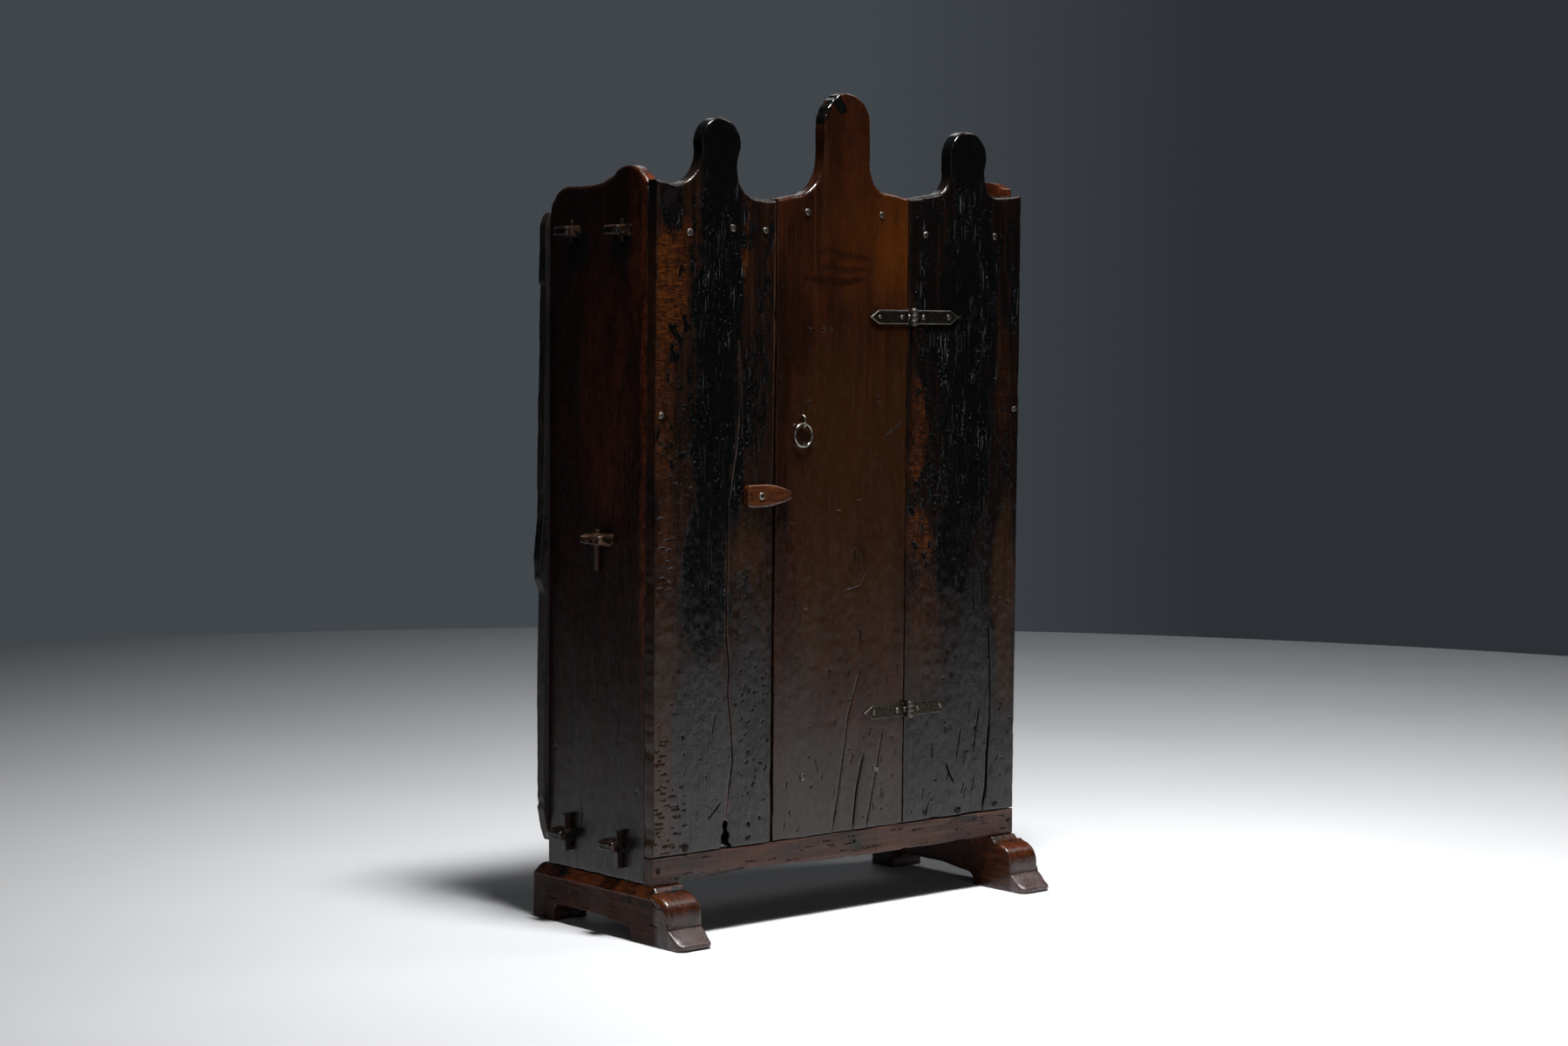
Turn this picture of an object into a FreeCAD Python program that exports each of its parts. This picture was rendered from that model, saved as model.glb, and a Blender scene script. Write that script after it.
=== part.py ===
"""A rustic boarded cabinet with one door, shaped crests, wedged through tenons and sledge feet.

Frame: +X to the viewer's right, -Y to the front, +Z up, millimetres.
The origin is on the floor under the middle of the cabinet's bounding box.
"""
import FreeCAD, Part

import math
import operator
import os
from types import SimpleNamespace

import Sketcher

SIZES = (
    # The case
    ("panel_depth", 261.0),           # a side panel from front edge to rear edge
    ("panel_thickness", 22.0),
    ("board_thickness", 25.0),        # the three boards of the front and the apron
    ("panel_crest_rise", 97.0),       # rises are measured from the top board's upper face
    ("panel_crest_setback", 45.0),    # from the panel's front edge to the top of its crest
    ("panel_crest_radius", 88.0),
    ("panel_waist_rise", 66.0),
    ("panel_waist_radius", 140.0),
    ("panel_rear_round", 45.0),
    ("stub_tenon_length", 46.0),      # the panel's tenons that go down into the foot
    ("stub_tenon_width", 62.0),
    ("stub_tenon_thickness", 12.0),
    ("stub_tenon_margin", 45.0),      # from the panel's edges to its stub tenons
    # The shelves, which run through the side panels
    ("shelf_thickness", 20.0),
    ("bottom_shelf_rise", 2.0),       # its underside above the front boards' feet
    ("middle_shelf_height", 648.0),   # undersides from the floor
    ("top_shelf_height", 1158.0),
    ("door_stop_gap", 0.4),           # between the shelf edges and the closed door
    ("tenon_reach", 34.0),            # how far a tenon stands out of the panel
    ("tenon_width", 38.0),
    ("middle_tenon_width", 52.0),
    ("tenon_round", 9.0),
    ("tenon_fit", 0.15),
    ("top_tenon_front", 60.0),        # tenon middles from the panel's front edge
    ("middle_tenon_front", 111.0),
    ("bottom_tenon_front", 66.0),
    ("top_tenon_rear", 67.0),         # tenon middles from the panel's rear edge
    ("bottom_tenon_rear", 53.0),
    # The keys that lock the tenons
    ("key_head_depth", 15.0),         # out from the panel, at the key's upper end
    ("key_tip_depth", 12.0),
    ("key_width", 11.0),
    ("key_offset", 7.0),              # in front of the middle of its tenon
    ("slim_key_head_depth", 9.0),     # the keys of the two upper shelves are slim
    ("slim_key_tip_depth", 6.0),
    ("slim_key_width", 7.5),
    ("top_key_offset", 2.0),          # behind the middle of its tenon
    ("middle_key_offset", 14.0),
    ("top_key_above", 9.0),
    ("top_key_below", 9.0),
    ("middle_key_above", 6.0),
    ("middle_key_below", 44.0),
    ("front_key_above", 15.0),
    ("front_key_below", 28.0),
    ("rear_key_above", 25.0),
    ("rear_key_below", 18.0),
    # The front boards and their crests
    ("left_board_width", 256.5),
    ("door_width", 302.5),
    ("right_board_width", 276.0),
    ("latch_gap", 3.0),               # between the left board and the door
    ("hinge_gap", 2.0),               # between the door and the right board
    ("apron_gap", 4.0),               # between the apron and the boards above it
    ("left_head_rise", 135.0),        # middle of a head
    ("left_head_radius", 42.0),
    ("left_outer_cove", 55.0),
    ("left_outer_shoulder", 66.0),    # shoulders and corners are rises as well
    ("left_outer_corner", 71.0),
    ("left_inner_cove", 50.0),
    ("left_inner_shoulder", 47.0),
    ("left_inner_corner", 45.0),
    ("door_head_rise", 179.0),
    ("door_head_radius", 53.0),
    ("door_latch_cove", 66.0),
    ("door_latch_shoulder", 55.0),
    ("door_latch_corner", 48.0),
    ("door_hinge_cove", 45.0),
    ("door_hinge_shoulder", 66.0),
    ("door_hinge_corner", 59.0),
    ("right_head_rise", 135.0),
    ("right_head_radius", 45.0),
    ("right_inner_cove", 37.0),
    ("right_inner_shoulder", 67.0),
    ("right_inner_corner", 57.0),
    ("right_outer_cove", 38.0),
    ("right_outer_shoulder", 68.0),
    ("right_outer_corner", 72.0),
    # The apron under the boards
    ("apron_height", 43.0),
    ("apron_block", 42.0),            # the full-height block at the left end
    ("apron_sweep", 40.0),            # the run of the double curve beside the block
    ("apron_rise", 11.0),
    ("apron_taper", 350.0),           # where the thinned stretch runs back to full height
    # The back boards
    ("back_thickness", 19.0),
    ("back_rise", 24.0),
    ("back_drop", 11.0),              # below the underside of the bottom shelf
    ("back_gap", 2.0),
    ("back_centre_width", 276.0),
    ("live_edge_reach", 22.0),        # how far the left board's bark edge stands out
    # The feet
    ("foot_height", 94.0),
    ("foot_width", 72.0),
    ("foot_overhang", 13.0),          # outside the side panel
    ("foot_chamfer_drop", 19.0),
    ("toe_reach", 89.0),              # the toe's tip in front of the front boards
    ("heel_reach", 25.0),             # the foot's rear end behind the side panel
    ("toe_height", 18.0),
    ("toe_underside", 6.0),
    ("toe_round", 14.0),
    ("toe_ramp_height", 31.0),
    ("nose_reach", 56.0),             # the rolled nose in front of the front boards
    ("nose_ledge", 2.0),
    ("nose_height", 84.0),
    ("nose_radius", 32.0),
    ("nose_chamfer", 8.0),
    ("ridge_reach", 4.0),
    ("front_leg_inset", 41.0),        # from the front boards' faces back to the arch
    ("rear_leg_length", 58.0),
    ("arch_height", 31.0),
    ("arch_round", 16.0),
    ("arch_slope_run", 64.0),
    ("arch_slope_drop", 8.0),
    ("peg_radius", 5.0),
    ("peg_height", 58.0),
    # The door's battens
    ("batten_margin", 31.0),          # from the door's edges to the battens' ends
    ("batten_height", 44.0),
    ("batten_thickness", 20.0),
    ("batten_bevel", 6.0),
    ("top_batten_rise", 27.0),        # middle above the top board
    ("bottom_batten_rise", 82.0),     # middle above the bottom shelf
    # The strap hinges
    ("hinge_offset", 7.5),            # pin centre to the right of the door's edge
    ("upper_hinge_drop", 148.0),      # below the top board's upper face
    ("lower_hinge_height", 343.0),
    ("strap_thickness", 3.0),
    ("strap_height", 24.0),
    ("strap_point", 20.0),
    ("upper_door_reach", 98.0),       # pin centre to the strap's point
    ("upper_case_reach", 114.0),
    ("lower_door_reach", 104.0),
    ("lower_case_reach", 102.0),
    ("barrel_radius", 7.0),
    ("barrel_height", 28.0),
    ("knuckle_height", 9.0),          # the door leaf's knuckle, in the middle
    ("knuckle_gap", 0.4),
    ("barrel_clearance", 0.4),        # between the barrel and the boards behind it
    ("pin_radius", 3.2),
    ("pin_fit", 0.08),
    ("pin_head_radius", 5.0),
    ("pin_head_height", 2.0),
    # The nails
    ("nail_length", 46.0),
    ("nail_shank", 3.6),
    ("nail_head_radius", 5.6),
    ("nail_top_radius", 2.6),
    ("nail_head_height", 2.2),
    ("strap_nail_length", 26.0),
    ("strap_nail_head_radius", 4.6),
    # The ring pull
    ("ring_radius", 19.5),
    ("ring_wire", 2.4),
    ("ring_setback", 58.0),           # staple from the door's latch edge
    ("ring_height", 849.0),           # the ring's pivot
    ("ring_standoff", 4.4),           # the ring's pivot in front of the door
    ("staple_wire", 3.2),             # across the flats of its square section
    ("staple_radius", 4.6),
    ("staple_bend", 4.0),
    ("staple_clench", 8.0),
    ("staple_bury", 2.0),
    # The turn button
    ("button_length", 103.0),
    ("button_height", 42.0),
    ("button_tip_height", 13.0),
    ("button_thickness", 12.0),
    ("button_pivot", 32.0),           # screw from the button's square end
    ("button_setback", 37.5),         # screw from the left board's inner edge
    ("button_level", 730.0),
    ("button_corner", 5.0),
    ("button_flank_radius", 150.0),
    ("button_edge", 2.0),
    ("button_clearance", 0.4),
    ("screw_radius", 2.5),
    ("screw_fit", 0.1),
    ("screw_length", 34.0),
    ("screw_head_radius", 4.5),
    ("screw_head_height", 2.6),
    ("washer_radius", 6.0),
    ("washer_thickness", 1.0),
)

# The middle of each head, as a share of its board's width from the left
LEFT_HEAD_SHARE = 0.53
DOOR_HEAD_SHARE = 0.516
RIGHT_HEAD_SHARE = 0.5145
# Nails in the front boards: share of the board's width, share of the shelf's thickness
LEFT_TOP_NAIL_SHARES = ((0.27, 0.35), (0.63, 0.80), (0.91, 0.70))
LEFT_BOTTOM_NAIL_SHARES = ((0.27, 0.45), (0.80, 0.55))
RIGHT_TOP_NAIL_SHARES = ((0.14, 0.80), (0.76, 0.85))
RIGHT_BOTTOM_NAIL_SHARES = ((0.20, 0.55), (0.49, 0.40), (0.83, 0.50))
BATTEN_NAIL_SHARES = (0.15, 0.86)
STRAP_NAIL_SHARES = (0.24, 0.78)
BACK_NAIL_SHARES = (0.18, 0.80)
PANEL_NAIL_HEIGHT_SHARE = 0.7
# The bark edge of the left back board, from its foot up: height share, reach share
LIVE_EDGE_SHARES = (
    (0.00, -0.18), (0.02, 0.18), (0.07, 0.64), (0.24, 0.68), (0.398, 0.59),
    (0.42, 1.00), (0.455, 0.91), (0.52, 0.59), (0.57, 0.77), (0.76, 0.64), (0.98, 0.40),
)
# The left board of the back takes this share of the width beside the centre board
BACK_LEFT_SHARE = 0.5
# The apron's end nails sit at this share of its height
APRON_NAIL_SHARE = 0.6


class Size:
    """A length that knows its number and the sheet formula that gives it."""

    def __init__(self, number, formula):
        self.number = number
        self.formula = formula

    def __add__(self, other):
        return combined(self, other, "+", operator.add)

    def __radd__(self, other):
        return combined(other, self, "+", operator.add)

    def __sub__(self, other):
        return combined(self, other, "-", operator.sub)

    def __rsub__(self, other):
        return combined(other, self, "-", operator.sub)

    def __mul__(self, other):
        return combined(self, other, "*", operator.mul)

    def __rmul__(self, other):
        return combined(other, self, "*", operator.mul)

    def __truediv__(self, other):
        return combined(self, other, "/", operator.truediv)

    def __neg__(self):
        return Size(-self.number, f"(-1 * {self.formula})")


def as_size(value):
    return value if isinstance(value, Size) else Size(float(value), f"({float(value)})")


def combined(left, right, sign, work):
    left, right = as_size(left), as_size(right)
    return Size(work(left.number, right.number), f"({left.formula} {sign} {right.formula})")


def root(square):
    """The square root, as a size."""
    return Size(math.sqrt(square.number), f"sqrt({square.formula})")


doc = FreeCAD.newDocument("Cabinet")
sheet = doc.addObject("Spreadsheet::Sheet", "Sizes")
for row, (alias, value) in enumerate(SIZES, start=1):
    sheet.set(f"A{row}", alias)
    sheet.set(f"B{row}", str(value))
    sheet.setAlias(f"B{row}", alias)
doc.recompute()
d = SimpleNamespace(**{alias: Size(value, f"Sizes.{alias}") for alias, value in SIZES})
nodes = {}


# Helpers for sketches, features and placed solids
def bind(thing, prop, size):
    """Gives a property its number now and its formula for every later change."""
    size = as_size(size)
    thing.setExpression(prop, size.formula)


def bind_place(thing, x=0.0, y=0.0, z=0.0):
    for axis, size in zip("xyz", (x, y, z)):
        bind(thing, f"Placement.Base.{axis}", size)


def new_body(label):
    body = doc.addObject("PartDesign::Body", label)
    body.Label = label
    return body


def new_sketch(body, plane, offset=0.0):
    """A sketch on one of the body's own planes, moved along that plane's normal."""
    sketch = body.newObject("Sketcher::SketchObject", "outline")
    origin_plane = [f for f in body.Origin.OriginFeatures if f.Role == plane][0]
    sketch.AttachmentSupport = (origin_plane, [""])
    sketch.MapMode = "FlatFace"
    bind(sketch, "AttachmentOffset.Base.z", offset)
    return sketch


def constrain(sketch, kind, first, first_end, second, second_end, size):
    index = sketch.addConstraint(
        Sketcher.Constraint(kind, first, first_end, second, second_end, size.number))
    sketch.setExpression(f"Constraints[{index}]", size.formula)


def fix_point(sketch, edge, end, point):
    """Ties an edge's end to its two coordinates, measured from the sketch's origin."""
    for kind, axis, size in (("DistanceX", -2, point[0]), ("DistanceY", -1, point[1])):
        size = as_size(size)
        if size.number == 0.0:
            sketch.addConstraint(Sketcher.Constraint("PointOnObject", edge, end, axis))
        else:
            constrain(sketch, kind, -1, 1, edge, end, size)


def arc_geometry(start, end, radius, turn):
    """The arc under a half circle from start to end, turning left (1) or right (-1)."""
    middle = (start + end) / 2
    half = (end - start).Length / 2
    rise = math.sqrt(max(radius ** 2 - half ** 2, 0.0))
    along = (end - start).normalize()
    centre = middle + FreeCAD.Vector(-along.y, along.x, 0) * rise * turn
    first, last = (start, end) if turn > 0 else (end, start)
    angles = [math.atan2(p.y - centre.y, p.x - centre.x) for p in (first, last)]
    if angles[1] < angles[0]:
        angles[1] += 2 * math.pi
    circle = Part.Circle(centre, FreeCAD.Vector(0, 0, 1), radius)
    return Part.ArcOfCircle(circle, angles[0], angles[1])


def draw(sketch, steps):
    """Draws a closed outline. A step is (x, y), a straight run to that point,
    or (x, y, radius, turn), an arc to it. The last step ends where the first begins."""
    points = [FreeCAD.Vector(as_size(s[0]).number, as_size(s[1]).number, 0) for s in steps]
    edges = []
    for index, step in enumerate(steps):
        start, end = points[index - 1], points[index]
        if len(step) == 2:
            edge = sketch.addGeometry(Part.LineSegment(start, end))
            edges.append((edge, 1, 2))
            continue
        radius, turn = as_size(step[2]), step[3]
        edge = sketch.addGeometry(arc_geometry(start, end, radius.number, turn))
        edges.append((edge, 1, 2) if turn > 0 else (edge, 2, 1))
        index_radius = sketch.addConstraint(Sketcher.Constraint("Radius", edge, radius.number))
        sketch.setExpression(f"Constraints[{index_radius}]", radius.formula)
    for index, (edge, start, end) in enumerate(edges):
        before, _, before_end = edges[index - 1]
        sketch.addConstraint(
            Sketcher.Constraint("Coincident", before, before_end, edge, start))
        fix_point(sketch, edge, end, steps[index])
    return sketch


def draw_box(sketch, low, high):
    return draw(sketch, (low, (high[0], low[1]), high, (low[0], high[1])))


def draw_circle(sketch, centre, radius):
    radius = as_size(radius)
    middle = FreeCAD.Vector(as_size(centre[0]).number, as_size(centre[1]).number, 0)
    circle = sketch.addGeometry(
        Part.Circle(middle, FreeCAD.Vector(0, 0, 1), radius.number))
    fix_point(sketch, circle, 3, centre)
    index = sketch.addConstraint(Sketcher.Constraint("Radius", circle, radius.number))
    sketch.setExpression(f"Constraints[{index}]", radius.formula)
    return sketch


def pad(body, sketch, length):
    feature = body.newObject("PartDesign::Pad", "pad")
    feature.Profile = sketch
    bind(feature, "Length", length)
    doc.recompute()
    return feature


def pocket(body, sketch, length=None, reverse=False):
    """Cuts to a length, or right through where none is given."""
    before = body.Shape.Volume
    feature = body.newObject("PartDesign::Pocket", "pocket")
    feature.Profile = sketch
    feature.Reversed = reverse
    if length is None:
        feature.Type = "ThroughAll"
    else:
        bind(feature, "Length", length)
    doc.recompute()
    if body.Shape.Volume >= before:
        raise RuntimeError(f"a pocket of {body.Label} cuts nothing")
    return feature


def bevel(body, size, wanted):
    """A chamfer on the edges for which wanted(edge) is true."""
    base = body.Tip
    names = [f"Edge{i}" for i, edge in enumerate(base.Shape.Edges, start=1) if wanted(edge)]
    feature = body.newObject("PartDesign::Chamfer", "bevel")
    feature.Base = (base, names)
    bind(feature, "Size", size)
    doc.recompute()
    return feature


def box(label, low, high):
    """A Part::Box between two corners."""
    solid = doc.addObject("Part::Box", label)
    bind_place(solid, *low)
    for prop, first, last in zip(("Length", "Width", "Height"), low, high):
        bind(solid, prop, last - first)
    return solid


def round_bar(label, radius, length, start, direction):
    """A Part::Cylinder from a start point along a fixed direction."""
    solid = doc.addObject("Part::Cylinder", label)
    bind(solid, "Radius", radius)
    bind(solid, "Height", length)
    solid.Placement.Rotation = FreeCAD.Rotation(FreeCAD.Vector(0, 0, 1), direction)
    bind_place(solid, *start)
    return solid


def facets(radius, start, normal, count):
    """A regular polygon round a start point, square to a fixed direction."""
    outline = doc.addObject("Part::RegularPolygon", "facets")
    outline.Polygon = count
    bind(outline, "Circumradius", radius)
    outline.Placement.Rotation = FreeCAD.Rotation(UP, normal)
    bind_place(outline, *start)
    return outline


def hammered_head(foot_radius, top_radius, height, start, direction):
    """The head of a nail, pin or screw, hammered to flat facets that draw in to its top."""
    x, y, z = start
    top = (x, y + height * direction.y, z + height * direction.z)
    head = doc.addObject("Part::Loft", "head")
    head.Sections = [facets(foot_radius, start, direction, HEAD_FACETS),
                     facets(top_radius, top, direction, HEAD_FACETS)]
    head.Solid = True
    head.Ruled = True
    return head


def fused(label, solids):
    whole = doc.addObject("Part::MultiFuse", label)
    whole.Shapes = solids
    return whole


def group(label, solids):
    whole = doc.addObject("Part::Compound", label)
    whole.Links = solids
    return whole


def cut(blank, tool):
    """The blank less a piece that is let into it."""
    result = doc.addObject("Part::Cut", "worked")
    result.Base = blank
    result.Tool = tool
    return result


def node(name, thing):
    """Names a finished piece."""
    thing.Label = name
    nodes[name] = thing
    return thing


FORWARD = FreeCAD.Vector(0, -1, 0)
BACKWARD = FreeCAD.Vector(0, 1, 0)
UP = FreeCAD.Vector(0, 0, 1)
RIGHTWARD = FreeCAD.Vector(1, 0, 0)
LEFT, RIGHT = -1, 1
HEAD_FACETS = 6
PEG_FACETS = 8
WIRE_FACETS = 6
FULL_TURN = 360
SAME_PLACE = 0.01  # millimetres within which an edge counts as lying in a plane

# Planes that several pieces share
case_width = (d.left_board_width + d.latch_gap + d.door_width + d.hinge_gap
              + d.right_board_width)
foot_length = d.toe_reach + d.board_thickness + d.panel_depth + d.heel_reach
front_y = d.toe_reach - foot_length / 2
panel_front_y = front_y + d.board_thickness
panel_rear_y = panel_front_y + d.panel_depth
shelf_front_y = panel_front_y + d.door_stop_gap
outer_x = case_width / 2
inner_x = outer_x - d.panel_thickness
apron_top = d.foot_height + d.apron_height
boards_foot = apron_top + d.apron_gap
bottom_level = boards_foot + d.bottom_shelf_rise
top_face = d.top_shelf_height + d.shelf_thickness
crest_level = top_face + d.panel_crest_rise
waist_level = top_face + d.panel_waist_rise
left_board_left = -outer_x
left_board_right = left_board_left + d.left_board_width
door_left = left_board_right + d.latch_gap
door_right = door_left + d.door_width
right_board_left = door_right + d.hinge_gap
pin_x = door_right + d.hinge_offset
pin_y = front_y - d.barrel_radius - d.barrel_clearance

# A key's section: depth at its head, depth at its tip, width
STOUT_KEY = (d.key_head_depth, d.key_tip_depth, d.key_width)
SLIM_KEY = (d.slim_key_head_depth, d.slim_key_tip_depth, d.slim_key_width)

# Each shelf: underside, tenon width, key section, then for each of its tenons the middle
# behind the panel's front edge, the key's place from that middle, and the key's reach
# above and below the shelf
SHELVES = {
    "top": (d.top_shelf_height, d.tenon_width, SLIM_KEY, (
        (d.top_tenon_front, d.top_key_offset, d.top_key_above, d.top_key_below),
        (d.panel_depth - d.top_tenon_rear, d.top_key_offset, d.top_key_above,
         d.top_key_below))),
    "middle": (d.middle_shelf_height, d.middle_tenon_width, SLIM_KEY, (
        (d.middle_tenon_front, d.middle_key_offset, d.middle_key_above,
         d.middle_key_below),)),
    "bottom": (bottom_level, d.tenon_width, STOUT_KEY, (
        (d.bottom_tenon_front, -d.key_offset, d.front_key_above, d.front_key_below),
        (d.panel_depth - d.bottom_tenon_rear, -d.key_offset, d.rear_key_above,
         d.rear_key_below))),
}


# Nails
def nail(start, direction, length, head_radius):
    """A hand-forged nail: a square shank driven in and a hammered head outside."""
    x, y, z = start
    half = d.nail_shank / 2
    behind = length * direction.y
    low_y, high_y = (y, y + behind) if direction.y > 0 else (y + behind, y)
    shank = box("shank", (x - half, low_y, z - half), (x + half, high_y, z + half))
    head = hammered_head(head_radius, d.nail_top_radius, d.nail_head_height, start,
                         direction * -1)
    return fused("nail", [shank, head])


def nail_group(name, starts, direction, length=d.nail_length, head_radius=d.nail_head_radius):
    nails = [nail(start, direction, length, head_radius) for start in starts]
    return node(name, group(name, nails))


def board_nail_places(left, width, shelf_height, shares):
    return [(left + width * across, front_y, shelf_height + d.shelf_thickness * up)
            for across, up in shares]


panel_nail_height = boards_foot + (top_face - boards_foot) * PANEL_NAIL_HEIGHT_SHARE
edge_nail_x = outer_x - d.panel_thickness / 2
board_nails = nail_group(
    "front_board_nails",
    board_nail_places(left_board_left, d.left_board_width, d.top_shelf_height,
                      LEFT_TOP_NAIL_SHARES)
    + board_nail_places(left_board_left, d.left_board_width, bottom_level,
                        LEFT_BOTTOM_NAIL_SHARES)
    + board_nail_places(right_board_left, d.right_board_width, d.top_shelf_height,
                        RIGHT_TOP_NAIL_SHARES)
    + board_nail_places(right_board_left, d.right_board_width, bottom_level,
                        RIGHT_BOTTOM_NAIL_SHARES)
    + [(edge_nail_x * side, front_y, panel_nail_height) for side in (LEFT, RIGHT)],
    BACKWARD)
apron_nails = nail_group(
    "apron_nails",
    [(edge_nail_x * side, front_y, d.foot_height + d.apron_height * APRON_NAIL_SHARE)
     for side in (LEFT, RIGHT)],
    BACKWARD)


# Shelves and keys
def shelf_outline(tenons, width):
    """One end of a shelf, front to rear, with its tenons, as (x, y) steps for the right."""
    reach = outer_x + d.tenon_reach
    r = d.tenon_round
    steps = [(inner_x, shelf_front_y)]
    for centre, *_ in tenons:
        front = panel_front_y + centre - width / 2
        rear = front + width
        steps += [(inner_x, front), (reach - r, front), (reach, front + r, r, 1),
                  (reach, rear - r), (reach - r, rear, r, 1), (inner_x, rear)]
    return steps + [(inner_x, panel_rear_y)]


def mirrored(steps):
    """The same steps on the left, walked from rear to front."""
    flipped = []
    for index in range(len(steps) - 1, -1, -1):
        arc = steps[index + 1][2:] if index + 1 < len(steps) else ()
        flipped.append((-steps[index][0], steps[index][1]) + tuple(arc))
    return flipped


def key(side, level, section, tenon):
    """A tapered key, thick end up, against the outer face of a side panel."""
    head_depth, tip_depth, width = section
    centre, offset, above, below = tenon
    wedge = doc.addObject("Part::Wedge", "key")
    wedge.Placement.Rotation = FreeCAD.Rotation(RIGHTWARD, 90)
    bind_place(wedge, outer_x * side, panel_front_y + centre + offset + width / 2,
               level - below)
    low_tip, high_tip = (-tip_depth, 0.0) if side == LEFT else (0.0, tip_depth)
    low_head, high_head = (-head_depth, 0.0) if side == LEFT else (0.0, head_depth)
    for prop, size in (("Xmin", low_tip), ("Xmax", high_tip), ("X2min", low_head),
                       ("X2max", high_head), ("Ymin", 0.0),
                       ("Ymax", above + below + d.shelf_thickness), ("Zmin", 0.0),
                       ("Z2min", 0.0), ("Zmax", width), ("Z2max", width)):
        bind(wedge, prop, size)
    return wedge


def make_shelf(name, row):
    level, width, section, tenons = SHELVES[row]
    body = new_body(f"{name}_blank")
    end = shelf_outline(tenons, width)
    pad(body, draw(new_sketch(body, "XY_Plane", level), end + mirrored(end)),
        d.shelf_thickness)
    keys = [key(side, level, section, tenon) for side in (LEFT, RIGHT) for tenon in tenons]
    locked = node(f"{row}_tenon_keys", group(f"{row}_tenon_keys", keys))
    return cut(body, locked)


# Back boards and their nails come before the shelves that the nails go into
back_y = panel_rear_y
back_left_width = (case_width - d.back_centre_width - d.back_gap * 2) * BACK_LEFT_SHARE
back_centre_left = left_board_left + back_left_width + d.back_gap
back_right_left = back_centre_left + d.back_centre_width + d.back_gap
BACK_BOARDS = {
    "back_board_left": (left_board_left, back_left_width),
    "back_board_centre": (back_centre_left, d.back_centre_width),
    "back_board_right": (back_right_left, outer_x - back_right_left),
}
back_nails = nail_group(
    "back_board_nails",
    [(left + width * across, back_y + d.back_thickness, level + d.shelf_thickness / 2)
     for left, width in BACK_BOARDS.values()
     for level, *_ in SHELVES.values()
     for across in BACK_NAIL_SHARES],
    FORWARD)
for name, row in (("top_board", "top"), ("middle_shelf", "middle"), ("bottom_shelf", "bottom")):
    shelf = cut(make_shelf(name, row), back_nails)
    node(name, shelf if row == "middle" else cut(shelf, board_nails))


# Side panels
def panel_outline():
    """A side panel seen from its right: (y, z) steps, up the rear edge and over the crest."""
    crest_y = panel_front_y + d.panel_crest_setback
    reach = d.panel_crest_radius + d.panel_waist_radius
    fall = crest_level - waist_level
    run = root(fall * (reach * 2 - fall))
    crest_share = d.panel_crest_radius / reach
    turn_y = crest_y + run * crest_share
    turn_z = crest_level - fall * crest_share
    front_fall = d.panel_crest_radius - root(
        d.panel_crest_radius * d.panel_crest_radius
        - d.panel_crest_setback * d.panel_crest_setback)
    return (
        (panel_front_y, d.foot_height),
        (panel_rear_y, d.foot_height),
        (panel_rear_y, waist_level - d.panel_rear_round),
        (panel_rear_y - d.panel_rear_round, waist_level, d.panel_rear_round, 1),
        (crest_y + run, waist_level),
        (turn_y, turn_z, d.panel_waist_radius, -1),
        (panel_front_y, crest_level - front_fall, d.panel_crest_radius, 1),
    )


def make_panel(name, side):
    body = new_body(f"{name}_blank")
    left_x = inner_x if side == RIGHT else -outer_x
    pad(body, draw(new_sketch(body, "YZ_Plane", left_x), panel_outline()), d.panel_thickness)
    stub_x = left_x + (d.panel_thickness - d.stub_tenon_thickness) / 2
    for front in stub_fronts():
        stub = draw_box(new_sketch(body, "YZ_Plane", stub_x),
                        (front, d.foot_height - d.stub_tenon_length),
                        (front + d.stub_tenon_width, d.foot_height))
        pad(body, stub, d.stub_tenon_thickness)
    for level, width, _, tenons in SHELVES.values():
        for centre, *_ in tenons:
            front = panel_front_y + centre - width / 2 - d.tenon_fit
            mortise = draw_box(new_sketch(body, "YZ_Plane", left_x),
                               (front, level - d.tenon_fit),
                               (front + width + d.tenon_fit * 2,
                                level + d.shelf_thickness + d.tenon_fit))
            pocket(body, mortise, reverse=True)
    return body


def stub_fronts():
    """Front faces of the two tenons by which a panel stands in its foot."""
    return (panel_front_y + d.stub_tenon_margin,
            panel_rear_y - d.stub_tenon_margin - d.stub_tenon_width)


# Feet
def foot_outline():
    """A foot seen from its right: (y, z) steps round from the rear bottom corner."""
    rear = foot_length / 2
    tip = -rear
    nose_y = front_y - d.nose_reach
    front_leg = front_y + d.front_leg_inset
    rear_leg = rear - d.rear_leg_length
    r = d.arch_round
    low_crown = d.arch_height - d.arch_slope_drop
    return (
        (rear, 0.0),
        (rear, d.foot_height - d.foot_chamfer_drop),
        (rear - d.foot_overhang, d.foot_height),
        (front_y, d.foot_height),
        (front_y - d.ridge_reach, d.nose_height),
        (nose_y + d.nose_radius, d.nose_height),
        (nose_y, d.nose_height - d.nose_radius, d.nose_radius, 1),
        (nose_y, d.toe_ramp_height),
        (nose_y - d.nose_ledge, d.toe_ramp_height),
        (tip, d.toe_height),
        (tip, d.toe_underside),
        (tip + d.toe_underside, 0.0, d.toe_underside, 1),
        (front_leg, 0.0),
        (front_leg, low_crown - r),
        (front_leg + r, low_crown, r, -1),
        (front_leg + r + d.arch_slope_run, d.arch_height),
        (rear_leg - r, d.arch_height),
        (rear_leg, d.arch_height - r, r, -1),
        (rear_leg, 0.0),
    )


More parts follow.
